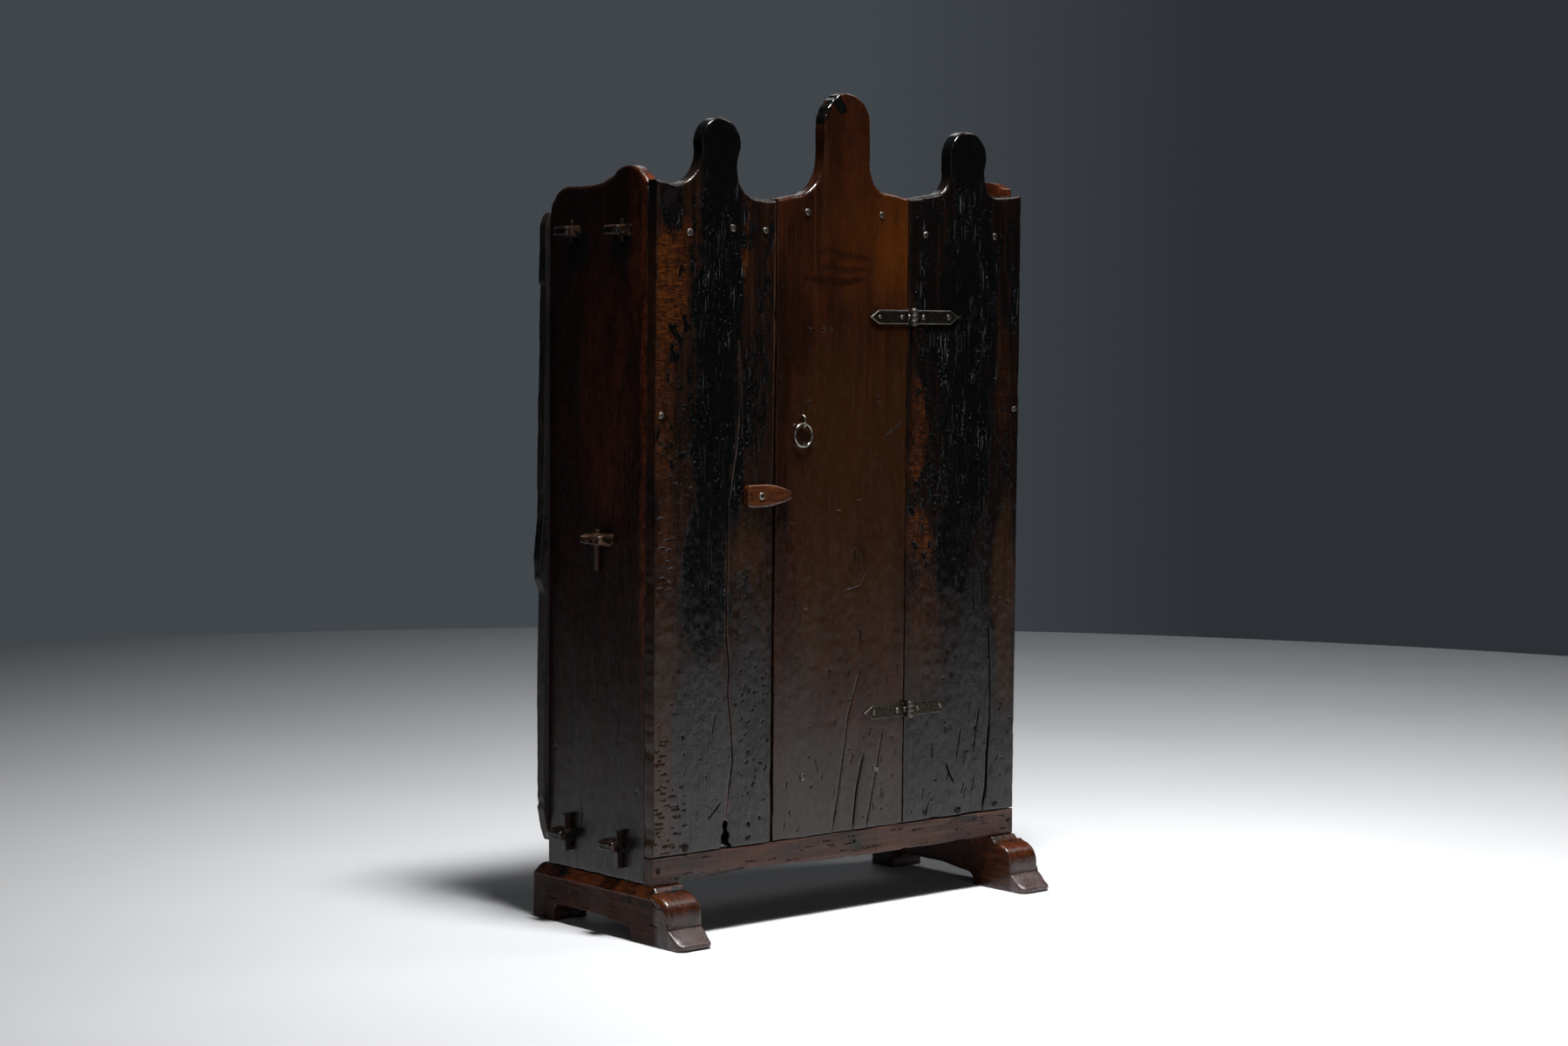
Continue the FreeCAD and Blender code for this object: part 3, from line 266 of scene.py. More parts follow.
def lay_stains(place, flat, rows):
    """A dictionary of masks from rows (mask, seed, raggedness, patches)."""
    return {mask: stain(place, flat, patches, seed, ragged) for mask, seed, ragged, patches in rows}


def crumbs(place, seed, less):
    """0 to 1 in small broken grains, which break a patch into isles."""
    grains = soft_noise(place, (9, 9, 16), seed) * 3 + soft_noise(place, (4, 4, 6), seed + 1) * 1.5
    return np.clip(grains - less, 0, 1)

# %% [markdown]
# ## The board maker
# Each real board is one plank, so each board here is one closed slab. The outline comes from the
# CAD face, so that joints still meet. It is cut into short steps and worn inwards only, its rim is
# rounded ring by ring, and its face is filled with points close enough to carry the carving. The
# points round a crack or a hole lie closer, so that small marks stay crisp.

# %% Read and write a mesh as rows of numbers
def read_rows(items, key, width=3, kind=float):
    """One row of numbers for each item of a mesh."""
    flat = np.empty(len(items) * width, kind)
    items.foreach_get(key, flat)
    return flat.reshape(-1, width)


def write_masks(mesh, masks):
    """Each mask becomes a float attribute of the mesh's points, for the material to read."""
    for key, values in masks.items():
        mesh.attributes.new(key, "FLOAT", "POINT").data.foreach_set("value", np.asarray(values, np.float32))


print("CAD nodes to dress:", len(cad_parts))

# %% Outlines: their area, even steps, and the way inwards
def signed_area(ring):
    """The ring's area, below zero if it runs clockwise."""
    after = np.roll(ring, -1, axis=0)
    return np.sum(ring[:, 0] * after[:, 1] - ring[:, 1] * after[:, 0]) / 2


def even_steps(ring, step):
    """The closed ring, run anticlockwise, with points no further apart than step, its corners kept."""
    ring = np.asarray(ring, float)
    if signed_area(ring) < 0:
        ring = ring[::-1]
    gaps = np.linalg.norm(ring - np.roll(ring, 1, axis=0), axis=1)
    ring = ring[gaps > 0.3]
    made = []
    for a, b in zip(ring, np.roll(ring, -1, axis=0)):
        count = max(1, int(round(np.linalg.norm(b - a) / step)))
        made.extend(a + (b - a) * k / count for k in range(count))
    return np.array(made)


def inward(ring):
    """The direction into an anticlockwise ring at each of its points."""
    run = np.roll(ring, -1, axis=0) - np.roll(ring, 1, axis=0)
    turn = np.stack([-run[:, 1], run[:, 0]], axis=1)
    return turn / np.maximum(np.linalg.norm(turn, axis=1), 1e-9)[:, None]


square = [(0, 0), (100, 0), (100, 100), (0, 100)]
print("points round a 100 mm square, 3 mm apart:", len(even_steps(square, 3)))

# %% Read a flat face's outline from a CAD node
def border_steps(corners):
    """From each border point of some triangles to the next: the sides that only one triangle has."""
    sides = set()
    for a, b, c in corners:
        sides.update(((a, b), (b, c), (c, a)))
    return {a: b for a, b in sides if (b, a) not in sides}


def face_outline(node, axis, side):
    """The largest closed outline of the flat CAD face that looks along an axis, and the face's level."""
    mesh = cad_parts[node].data
    spots = read_rows(mesh.vertices, "co") * 1000
    level = spots[:, axis].max() if side > 0 else spots[:, axis].min()
    keep, same = np.unique(np.round(spots, 1), axis=0, return_inverse=True)
    mesh.calc_loop_triangles()
    corners = same.ravel()[read_rows(mesh.loop_triangles, "vertices", kind=np.int64)]
    flat = np.abs(keep[corners][:, :, axis] - level).max(1) < 0.06
    follow = border_steps(corners[flat])
    plane = [k for k in range(3) if k != axis]
    best, best_area = None, 0
    while follow:
        first = next(iter(follow))
        loop = [first]
        while follow.get(loop[-1], first) != first:
            loop.append(follow.pop(loop[-1]))
        follow.pop(loop[-1], None)
        ring = keep[loop][:, plane]
        if abs(signed_area(ring)) > best_area:
            best, best_area = ring, abs(signed_area(ring))
    return best, level


print("the door's outline has", len(face_outline("door_board", 1, -1)[0]), "corners")

# %% Where a level line crosses an outline, and whether a spot is well inside
def crossings(ring, ahead, v):
    """The places, from left to right, where the ring crosses the height v."""
    crossing = (ring[:, 1] > v) != (ahead[:, 1] > v)
    a, b = ring[crossing], ahead[crossing]
    return np.sort(a[:, 0] + (v - a[:, 1]) * (b[:, 0] - a[:, 0]) / (b[:, 1] - a[:, 1]))


def well_inside(spot, ring, ahead):
    """True if the spot lies in the ring and over a millimetre from it."""
    beyond = (crossings(ring, ahead, spot[1]) > spot[0]).sum()
    return beyond % 2 == 1 and np.linalg.norm(ring - spot, axis=1).min() > 1.2


def keep_clear(spots, others, gap):
    """The spots that are further than gap from all others."""
    if not len(spots) or not len(others):
        return spots
    return spots[np.linalg.norm(spots[:, None] - others[None], axis=2).min(1) > gap]

# %% Scatter points over an outline
ROW_GAP = 0.87
JITTER = 0.18


def scatter(ring, ahead, step, extra, seed):
    """Jittered rows of points inside the ring, clear of its rim and of the extra points."""
    rng = np.random.default_rng(seed)
    low, high = ring.min(0), ring.max(0)
    rows = []
    for row, v in enumerate(np.arange(low[1] + step * 0.6, high[1], step * ROW_GAP)):
        u = np.arange(low[0] + (row % 2) * step / 2, high[0], step)
        spots = np.stack([u, np.full(len(u), v)], axis=1) + rng.uniform(-JITTER, JITTER, (len(u), 2)) * step
        spots = spots[np.searchsorted(crossings(ring, ahead, v), spots[:, 0]) % 2 == 1]
        spots = keep_clear(spots, ring[np.abs(ring[:, 1] - v) < step * 1.5], step * 0.55)
        rows.append(keep_clear(spots, extra[np.abs(extra[:, 1] - v) < step], step * 0.5))
    return rows

# %% Join the points into triangles
def outside_ring(middle, ring, ahead):
    """True for each spot that lies outside the ring."""
    a, b = ring[None], ahead[None]
    crossing = (a[:, :, 1] > middle[:, None, 1]) != (b[:, :, 1] > middle[:, None, 1])
    rise = b[:, :, 1] - a[:, :, 1]
    slope = (b[:, :, 0] - a[:, :, 0]) / np.where(np.abs(rise) < 1e-9, 1e-9, rise)
    left_of = middle[:, None, 0] < a[:, :, 0] + (middle[:, None, 1] - a[:, :, 1]) * slope
    return (crossing & left_of).sum(1) % 2 == 0


def fill(ring, step, extra, seed):
    """Points and triangles over the ring, the extra points among them, and where the ring's points are."""
    ahead = np.roll(ring, -1, axis=0)
    extra = np.asarray(extra, float).reshape(-1, 2)
    extra = np.array([spot for spot in extra if well_inside(spot, ring, ahead)]).reshape(-1, 2)
    points = np.concatenate([ring] + scatter(ring, ahead, step, extra, seed) + [extra])
    rim = [(k, (k + 1) % len(ring)) for k in range(len(ring))]
    out = delaunay_2d_cdt([Vector(p) for p in points], rim, [], 1, 1e-4, True)
    spots = np.array([tuple(p) for p in out[0]])
    where = {origin: index for index, origins in enumerate(out[3]) for origin in origins}
    rim_index = [where[k] for k in range(len(ring))]
    faces = np.array([list(f) for f in out[2]])
    on_rim = np.zeros(len(spots), bool)
    on_rim[rim_index] = True
    unsure = np.flatnonzero(on_rim[faces].all(1))
    outside = outside_ring(spots[faces[unsure]].mean(1), ring, ahead)
    return spots, np.delete(faces, unsure[outside], axis=0).tolist(), rim_index


square = np.array([(0.0, 0.0), (50.0, 0.0), (50.0, 50.0), (0.0, 50.0)])
print("triangles in a 50 mm square:", len(fill(even_steps(square, 5), 5, [], 1)[1]))

# %% Carve cracks and holes into a face
# How soon a crack's painted shade turns black.
BLACK_BY = 3.4


def carve(flat, cracks, pits):
    """Depth in millimetres and painted shade (0 to 1, black well before the bottom) of cracks and pits."""
    depth = np.zeros(len(flat))
    dark = np.zeros(len(flat))
    for line, wide, deep in cracks:
        line = np.asarray(line, float)
        near = np.all((flat > line.min(0) - wide) & (flat < line.max(0) + wide), axis=1)
        gap, along = line_distance(flat[near], line)
        taper = np.clip(np.minimum(along, 1 - along) * 6 + 0.25, 0, 1)
        cut = np.clip(1 - gap / (wide * taper), 0, 1)
        depth[near] = np.maximum(depth[near], deep * cut)
        dark[near] = np.maximum(dark[near], np.clip(cut * BLACK_BY, 0, 1))
    for u, v, radius, deep in pits:
        gap = np.linalg.norm(flat - (u, v), axis=1)
        cut = np.clip((1 - gap / radius) * 2.2, 0, 1)
        depth = np.maximum(depth, deep * cut)
        dark = np.maximum(dark, cut)
    return depth, dark


print("depth in a 2 mm pit:", carve(np.array([[0.0, 0.0], [9.0, 0.0]]), [], [(0, 0, 3, 2)])[0])

# %% Extra mesh points where a face is carved
def circle(u, v, radius, count):
    """Points on a circle."""
    turns = [2 * math.pi * k / count for k in range(count)]
    return [(u + radius * math.cos(turn), v + radius * math.sin(turn)) for turn in turns]


def mark_points(cracks, pits):
    """Points along the middle and both rims of each crack, and round each pit."""
    made = []
    for line, wide, deep in cracks:
        line = np.asarray(line, float)
        for a, b in zip(line[:-1], line[1:]):
            length = np.linalg.norm(b - a)
            run = (b - a) / max(length, 1e-9)
            across = np.array([-run[1], run[0]])
            for s in np.arange(0, length, 2.2):
                made.extend((a + run * s + across * wide * k for k in (-1.05, -0.5, 0, 0.5, 1.05)))
    for u, v, radius, deep in pits:
        made += [(u, v)] + circle(u, v, radius * 0.5, 6) + circle(u, v, radius * 1.05, 10)
    made = np.array(made).reshape(-1, 2)
    if len(made):
        kept = np.unique(np.round(made / 0.9).astype(int), axis=0, return_index=True)[1]
        made = made[np.sort(kept)]
    return made

# %% Turn arrays into one smooth object
def make_object(name, points, faces, masks, material):
    """A mesh object from points in millimetres, with its masks and material, its faces outwards."""
    mesh = bpy.data.meshes.new(name)
    mesh.from_pydata((np.asarray(points) / 1000).tolist(), [], faces)
    write_masks(mesh, masks)
    shape = bmesh.new()
    shape.from_mesh(mesh)
    bmesh.ops.recalc_face_normals(shape, faces=shape.faces)
    for face in shape.faces:
        face.smooth = True
    shape.to_mesh(mesh)
    shape.free()
    mesh.materials.append(material)
    return new_object(name, mesh)


def band(a, b):
    """Four-sided faces between two rings of point numbers."""
    return [[a[k - 1], b[k - 1], b[k], a[k]] for k in range(len(a))]


def stand_in(piece, node, body):
    """The piece rides on a body and stands for a CAD node, which is hidden."""
    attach(piece, body)
    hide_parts(node)
    print(piece.name, "stands for", node, "and rides on", body)

# %% The worn outline and its rounded rim
SHOULDER_HEIGHT = 1150
HEAD_HEIGHT = 1262


def worn_ring(ring, place, wear, seed):
    """The outline worn inwards: a little everywhere, and more in a few chips."""
    chip = np.clip(soft_noise(place, 34, seed) - 0.35, 0, 1) * 2.6
    return ring + inward(ring) * (wear * (0.35 + 0.35 * soft_noise(place, 9, seed + 1) + chip))[:, None]


def rim_radius(ring, into, place, round_rim, joint_rim, seed):
    """How far the rim is rounded: less beside a neighbour, more on top of the rubbed shoulders."""
    soft = round_rim * (1 + 0.45 * soft_noise(place, 22, seed + 2))
    soft = soft * np.where(np.abs(into[:, 0]) > 0.9, joint_rim, 1.0)
    on_top = np.clip(-into[:, 1] * 1.4, 0, 1) * (ring[:, 1] > SHOULDER_HEIGHT)
    return soft * (1 + np.where(ring[:, 1] > HEAD_HEIGHT, 0.5, 1.5) * on_top)


def edge_layers(soft, shape, place, thick, rear_soft, columns, dents, seed):
    """Rings (inset, depth) from the face to the back: the round front rim, the dented edge, the rear rim."""
    none = soft * 0
    layers = [(soft * 0.3, soft * 0.3 + shape * 0.7), (none, soft + shape * 0.3)]
    for share in np.linspace(0, 1, columns + 2)[1:-1]:
        dent = dents * (1 + soft_noise(place + share * 40, 7, seed + 4))
        layers.append((dent, soft + (thick - soft - rear_soft) * share))
    layers.append((none, thick - rear_soft + none))
    layers.append((rear_soft * 0.3 + none, thick - rear_soft * 0.3 + none))
    return layers

# %% The slab of one board
def worn_board(name, node, axis, side, material, step, marks, ring_change=None, cracks=(), pits=(),
               relief=None, round_rim=2.2, wear=1.4, back_step=14.0, seed=1, ring=None, level=None,
               thick=None, columns=3, reshape=None, edge_dents=0.35, edge_mark=0.7, joint_rim=0.45):
    """A closed slab over a CAD board: worn outline, rounded rims, carved face."""
    if ring is None:
        low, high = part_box(node)
        ring, level = face_outline(node, axis, side)
        thick = (high[axis] - low[axis]) * 1000
    ring = even_steps(ring_change(ring) if ring_change else ring, step)
    plane = [k for k in range(3) if k != axis]

    def place_of(flat, depth):
        spots = np.zeros((len(flat), 3))
        spots[:, plane] = flat
        spots[:, axis] = level - side * depth
        return spots

    rim_place = place_of(ring, np.zeros(len(ring)))
    ring = worn_ring(ring, rim_place, wear, seed)
    into = inward(ring)
    soft = rim_radius(ring, into, rim_place, round_rim, joint_rim, seed)
    rear_soft = min(1.5, round_rim)
    front, front_faces, front_rim = fill(ring + into * soft[:, None], step, mark_points(cracks, pits), seed)
    rear, rear_faces, rear_rim = fill(ring + into * rear_soft, back_step, [], seed + 5)
    depth, dark = carve(front, cracks, pits)
    if relief:
        depth = depth + relief(place_of(front, depth * 0), front)
    layers = edge_layers(soft, depth[front_rim], rim_place, thick, rear_soft, columns, edge_dents, seed)
    parts = [place_of(front, depth)]
    parts += [place_of(ring + into * inset[:, None], down) for inset, down in layers]
    parts.append(place_of(rear, np.full(len(rear), float(thick))))
    points = np.concatenate(parts)
    first = np.cumsum([0] + [len(part) for part in parts]).tolist()
    rings = [front_rim] + [list(range(k, k + len(ring))) for k in first[1:-2]]
    rings.append([first[-2] + k for k in rear_rim])
    faces = front_faces + [[first[-2] + k for k in face[::-1]] for face in rear_faces]
    for a, b in zip(rings[:-1], rings[1:]):
        faces += band(a, b)
    masks = marks(points, points[:, plane])
    # The pit mask is painted shade: it blackens the cracks and holes.
    masks["pit"] = np.concatenate([dark, np.zeros(len(points) - len(front))])
    edge = np.zeros(len(points))
    for numbers, share in zip(rings[:3], (0.6, 1.0, 0.6)):
        edge[numbers] = share * edge_mark
    masks["worn"] = np.maximum(masks.get("worn", 0), edge)
    print(name, "triangles", sum(len(f) - 2 for f in faces))
    return make_object(name, reshape(points) if reshape else points, faces, masks, material)

# %% [markdown]
# ## Old dark oak
# The boards are oak, stained nearly black with soot and oil and then waxed. To the eye that is a
# thin, uneven gloss over brown, amber and black that follow the grain. The material mixes those
# colours with the stain masks that each board carries, and noise stretched along the grain breaks
# up every border. Pattern sizes are real millimetres: 1.4 mm grain lines and 30 mm clouds.

# %% Patterns in the wood: width, run along the grain (millimetres), detail, roughness
PATTERNS = {"cloud": (30.0, 96.0, 5.0, 0.62), "blotch": (9.0, 20.0, 5.0, 0.7),
            "streak": (6.0, 240.0, 3.0, 0.55), "line": (1.4, 70.0, 4.0, 0.65),
            "speck": (2.0, 3.6, 2.0, 0.55), "figure": (13.0, 2.6, 3.0, 0.55),
            "chip": (1.9, 3.6, 1.0, 0.5), "fibre": (1.3, 60.0, 1.0, 0.5)}
MASKS = ("char", "amber", "faded", "grey", "dusk", "dry", "pit", "rim", "worn")


def pattern_rows(run_axis):
    """Rows for every pattern, each stretched along the grain, and for every mask a board carries."""
    rows = []
    for title, (wide, run, detail, rough) in PATTERNS.items():
        scale = [1000 / wide] * 3
        scale[run_axis] = 1000 / run
        rows.append((title + " place", "ShaderNodeMapping", {"Vector": "place", "Scale": scale}))
        rows.append((title, NOISE, {"Vector": title + " place", "Scale": 1.0, "Detail": detail,
                                    "Roughness": rough}))
    return rows + [(title, MASK, {}, {"attribute_name": title}) for title in MASKS]


print("grain line", PATTERNS["line"][0], "mm, cloud", PATTERNS["cloud"][0], "mm")

# %% The wood's colours: brown first, then amber, grey and dusk over it
# Near black for dark pores, and painted shade at the bottom of cracks and holes.
PORE_BLACK_AND_RECESS_SHADE = "#040303"
SOOT = "#050505"
ASH = "#0c0e10"
# Pale torn wood, and the painted highlight on the left board's edge by the door.
TORN_WOOD_AND_EDGE_HIGHLIGHT = "#5f4434"
# A pale colour painted into the soot as glints and glinting fibres: a painted highlight.
PAINTED_GLINT_PALE = "#8a8d90"


def brown_rows(shade, body, light, amber, honey, grey, olive, ripple, patchy):
    """Rows from the plain brown to the wood that daylight and dirt have changed."""
    return [
        ("brown share", RANGE, {"Value": "cloud", "From Min": 0.36, "From Max": 0.64}),
        ("brown", MIX, {0: "brown share", 6: paint(shade), 7: paint(body)}, COLOURS),
        ("pale share", RANGE, {"Value": "streak", "From Min": 0.5, "From Max": 0.75, "To Max": 0.7}),
        ("streaked", MIX, {0: "pale share", 6: "brown", 7: paint(light)}, COLOURS),
        ("some cloud", MATH, {0: "cloud", 1: 0.45}, TIMES),
        ("ragged", MATH, {0: "blotch", 1: 0.55, 2: "some cloud"}, TIMES_PLUS),
        ("sun share", RANGE, {"Value": "figure", "From Min": 0.4, "From Max": 0.66, "To Max": ripple}),
        ("sun", MIX, {0: "sun share", 6: paint(amber), 7: paint(honey)}, COLOURS),
        ("gold edge", RANGE, {"Value": "ragged", "From Min": 0.36, "From Max": 0.56, "To Min": 1 - patchy}),
        ("gold share", MATH, {0: "amber", 1: "gold edge"}, TIMES),
        ("golden", MIX, {0: "gold share", 6: "streaked", 7: "sun"}, COLOURS),
        ("pale olive", MIX, {0: "pale share", 6: paint(olive), 7: paint(light)}, COLOURS),
        ("bleached", MIX, {0: "faded", 6: "golden", 7: "pale olive"}, COLOURS),
        ("dull edge", RANGE, {"Value": "ragged", "From Min": 0.3, "From Max": 0.55}),
        ("dull share", MATH, {0: "grey", 1: "dull edge"}, TIMES),
        ("dull", MIX, {0: "dull share", 6: "bleached", 7: paint(grey)}, COLOURS),
        ("dusky", MIX, {0: "dusk", 6: "dull", 7: paint(shade)}, COLOURS)]

# %% Soot, pores, wear and painted glints over the brown
def soot_rows(light, grain, flecks, glints):
    """Rows that lay soot, dark grain lines and pores, painted glints, rubbed edges, pale rims of torn wood
    and of painted highlight, and the painted shade of cracks and holes.
    """
    return [
        ("soot base", MATH, {0: "ragged", 1: 3.0, 2: "char"}, TIMES_PLUS),
        ("soot sum", MATH, {0: "speck", 1: 0.5, 2: "soot base"}, TIMES_PLUS),
        ("soot share", RANGE, {"Value": "soot sum", "From Min": 2.2, "From Max": 2.5}),
        ("ash share", RANGE, {"Value": "line", "From Min": 0.5, "From Max": 0.72, "To Max": 0.6}),
        ("soot", MIX, {0: "ash share", 6: paint(SOOT), 7: paint(ASH)}, COLOURS),
        ("sooty", MIX, {0: "soot share", 6: "dusky", 7: "soot"}, COLOURS),
        ("line share", RANGE, {"Value": "line", "From Min": 0.5, "From Max": 0.3, "To Max": grain}),
        ("lined", MIX, {0: "line share", 6: "sooty", 7: paint(SOOT)}, COLOURS),
        ("fleck share", RANGE, {"Value": "speck", "From Min": 0.36, "From Max": 0.26, "To Max": flecks}),
        ("flecked", MIX, {0: "fleck share", 6: "lined", 7: paint(PORE_BLACK_AND_RECESS_SHADE)}, COLOURS),
        # Painted highlight: pale specks and fibres mixed into the soot's colour, none under the dusk mask.
        ("glint edge", RANGE, {"Value": "chip", "From Min": 0.7, "From Max": 0.74, "To Max": glints}),
        ("glint patch", RANGE, {"Value": "cloud", "From Min": 0.46, "From Max": 0.6}),
        ("scratch", RANGE, {"Value": "fibre", "From Min": 0.67, "From Max": 0.72, "To Max": glints * 0.5}),
        ("bright", MATH, {0: "glint edge", 1: "scratch"}, {"operation": "MAXIMUM"}),
        ("undimmed", MATH, {0: "dusk", 1: -1.0, 2: 1.0}, TIMES_PLUS),
        ("glint room", MATH, {0: "glint patch", 1: "undimmed"}, TIMES),
        ("some glints", MATH, {0: "bright", 1: "glint room"}, TIMES),
        ("glint share", MATH, {0: "some glints", 1: "soot share"}, TIMES),
        ("glinting", MIX, {0: "glint share", 6: "flecked", 7: paint(PAINTED_GLINT_PALE)}, COLOURS),
        ("rub edge", RANGE, {"Value": "cloud", "From Min": 0.42, "From Max": 0.62, "To Max": 0.4}),
        ("rub share", MATH, {0: "worn", 1: "rub edge"}, TIMES),
        ("rubbed", MIX, {0: "rub share", 6: "glinting", 7: paint(light)}, COLOURS),
        ("rimmed", MIX, {0: "rim", 6: "rubbed", 7: paint(TORN_WOOD_AND_EDGE_HIGHLIGHT)}, COLOURS),
        # Painted shade: cracks and holes darkened to near black.
        ("colour", MIX, {0: "pit", 6: "rimmed", 7: paint(PORE_BLACK_AND_RECESS_SHADE)}, COLOURS)]

# %% The wood's gloss and its fine relief
def wax_rows(gloss, polish, bump):
    """Rows for the roughness, for how strongly the wax mirrors, and for the bumps under a millimetre."""
    return [
        ("line shine", RANGE, {"Value": "line", "From Min": 0.35, "From Max": 0.7, "To Min": gloss,
                               "To Max": gloss + 0.08}),
        ("blotch shine", RANGE, {"Value": "blotch", "From Min": 0.42, "From Max": 0.66, "To Max": 0.1}),
        ("both shine", MATH, {0: "line shine", 1: "blotch shine"}, PLUS),
        ("oiled shine", MATH, {0: "soot share", 1: -polish, 2: "both shine"}, TIMES_PLUS),
        ("dry shine", MATH, {0: "dry", 1: 0.45, 2: "oiled shine"}, TIMES_PLUS),
        ("shine", MATH, {0: "pit", 1: 0.4, 2: "dry shine"}, TIMES_PLUS),
        ("line height", MATH, {0: "line", 1: 0.8}, TIMES),
        ("streak height", MATH, {0: "streak", 1: 0.6, 2: "line height"}, TIMES_PLUS),
        ("speck dip", RANGE, {"Value": "speck", "From Min": 0.4, "From Max": 0.2, "To Max": -0.9}),
        ("dipped", MATH, {0: "streak height", 1: "speck dip"}, PLUS),
        ("rough height", MATH, {0: "blotch", 1: 0.5, 2: "dipped"}, TIMES_PLUS),
        ("calm", RANGE, {"Value": "soot share", "To Min": 1.0, "To Max": 0.3}),
        ("coarse", MATH, {0: "dull share", 1: 1.2, 2: "calm"}, TIMES_PLUS),
        ("height", MATH, {0: "rough height", 1: "coarse"}, TIMES),
        ("pores", MATH, {0: "line share", 1: "fleck share"}, PLUS),
        ("dull parts", MATH, {0: "dry", 1: 0.6, 2: "pit"}, TIMES_PLUS),
        ("cavities", MATH, {0: "pores", 1: 0.7, 2: "dull parts"}, TIMES_PLUS),
        ("mirror", RANGE, {"Value": "cavities", "To Min": 0.5, "To Max": 0.0}),
        ("dents", BUMP, {"Height": "height", "Strength": bump, "Distance": 0.0009})]


def old_wood(name, run_axis, shade, body, light, amber="#4a2610", honey="#6b3c14", grey="#2a2827",
             olive="#2c1a0c", gloss=0.17, bump=0.4, ripple=0.0, flecks=0.5, glints=0.0, patchy=1.0,
             polish=0.0, grain=0.5):
    """Dark waxed oak: shade, body and light are its brown, and the masks add amber, soot and grey."""
    rows = pattern_rows(run_axis)
    rows += brown_rows(shade, body, light, amber, honey, grey, olive, ripple, patchy)
    rows += soot_rows(light, grain, flecks, glints) + wax_rows(gloss, polish, bump)
    material, shader = new_material(name, rows, {"Base Color": "colour", "Roughness": "shine",
                                                 "Specular IOR Level": "mirror", "Normal": "dents"})
    shader.inputs["IOR"].default_value = 1.45
    return material

# %% The woods
ALONG_X, ALONG_Y, ALONG_Z = 0, 1, 2
# Fire and wax on split oak: sooty black with amber showing at the left edge, fine specks of painted glint.
left_board_wood = old_wood("burnt_waxed_split_oak", ALONG_Z, "#0c0604", "#1b0d07", "#2f1a0e",
                           amber="#281106", honey="#522a0c", grey="#1b1b1d", gloss=0.14, polish=0.05,
                           ripple=1.0, glints=0.6, flecks=0.8)
# Planed, waxed oak that hands have polished: an even red-brown that glows towards the hinges.
door_wood = old_wood("hand_polished_planed_oak", ALONG_Z, "#160803", "#270f05", "#331a0b",
                     amber="#432006", gloss=0.15, grey="#221a13", bump=0.22, flecks=0.15, patchy=0.2,
                     olive="#271405", grain=0.22)
# The same burnt oak, darker: nearly black, with thin pale fibres and specks painted as glints.
right_board_wood = old_wood("dark_burnt_split_oak", ALONG_Z, "#080403", "#0f0705", "#22130c",
                            amber="#251107", honey="#4a240b", grey="#101113", gloss=0.14,
                            polish=0.05, ripple=1.0, glints=0.6)
# Thick dark wax over planed oak: a deep red that only shows where light grazes it.
side_wood = old_wood("thick_waxed_planed_oak", ALONG_Z, "#120604", "#1f0a05", "#2a1009",
                     amber="#5a270d", gloss=0.2, bump=0.25, flecks=0.2)
# Rough-sawn oak, oiled thinly: dull and deeply lined.
back_wood = old_wood("rough_sawn_oak", ALONG_Z, "#0b0504", "#170b07", "#24140c", gloss=0.34, bump=0.9,
                     polish=0.14)
# Inner oak darkened by use alone: matt and a little paler; its tenons' ends are oiled black.
shelf_wood = old_wood("bare_inner_oak", ALONG_X, "#160e09", "#2b1a11", "#43301f", gloss=0.5, polish=0.34)
# Brushed, open-grained oak: pale grey-brown with dark open pores.
apron_wood = old_wood("brushed_open_grained_oak", ALONG_X, "#1e0f0a", "#371c12", "#543a2f",
                      amber="#4d2b18", gloss=0.4, bump=0.8, flecks=0.9)
# Foot wood rubbed by shoes: satin red-brown, grey where it is worn through.
foot_wood = old_wood("shoe_rubbed_oak", ALONG_Y, "#140804", "#2c1409", "#452410", amber="#4c220b",
                     grey="#544847", gloss=0.19, bump=0.3)
# A small knob polished by fingers: warm orange-brown, its edges pale, partly rubbed and partly a painted
# highlight.
button_wood = old_wood("finger_polished_oak", ALONG_X, "#241007", "#3c1c0b", "#5e3417",
                       amber="#552c10", gloss=0.14, bump=0.2)
# Split wedges, oiled and chipped: dark ends with pale torn fibres.
key_wood = old_wood("split_oiled_wedge_oak", ALONG_Z, "#090504", "#150b07", "#24160e",
                    amber="#24130a", gloss=0.24)
# The middle wedges, rubbed bare by cloths: a warm tan.
bare_key_wood = old_wood("split_bare_wedge_oak", ALONG_Z, "#2a1a12", "#4a3022", "#6b4a36",
                         amber="#4f3120", gloss=0.4)
print("wood materials:", [m.name for m in bpy.data.materials if "oak" in m.name])

# %% [markdown]
# ## The three front boards
# Three planks make the front: a left board, the door and a right board, each cut to square
# shoulders and a round head. Their stains, cracks and holes are given in millimetres along the
# front (across, height), read from the photograph with the fitted camera.

# %% Waves and ridges of a hewn face
def hewn_face(seed, waves=1.1, ridges=0.22, dents=0.25, smooth_above=None):
    """A function that gives a hewn face's depth: broad waves, ridges along the grain, dents."""
    layers = ((waves, (55, 55, 170)), (ridges, (9, 9, 110)), (ridges * 0.5, (4.5, 4.5, 45)),
              (dents, (12, 12, 14)), (dents * 0.45, (5.5, 5.5, 6.5)))

    def relief(place, flat):
        heights = [height * soft_noise(place, size, seed + k) for k, (height, size) in enumerate(layers)]
        shape = sum(heights) + waves * 0.6
        if smooth_above:
            shape = shape * np.interp(flat[:, 1], (smooth_above, smooth_above + 60), (1, 0.3))
        return shape
    return relief


print("hewn depth at a point:", np.round(hewn_face(31)(np.array([[0.0, 0.0, 500.0]]), np.zeros((1, 2))), 2))

# %% Many short strokes, as of an adze or a nibbling tool
UPRIGHT = 1.57


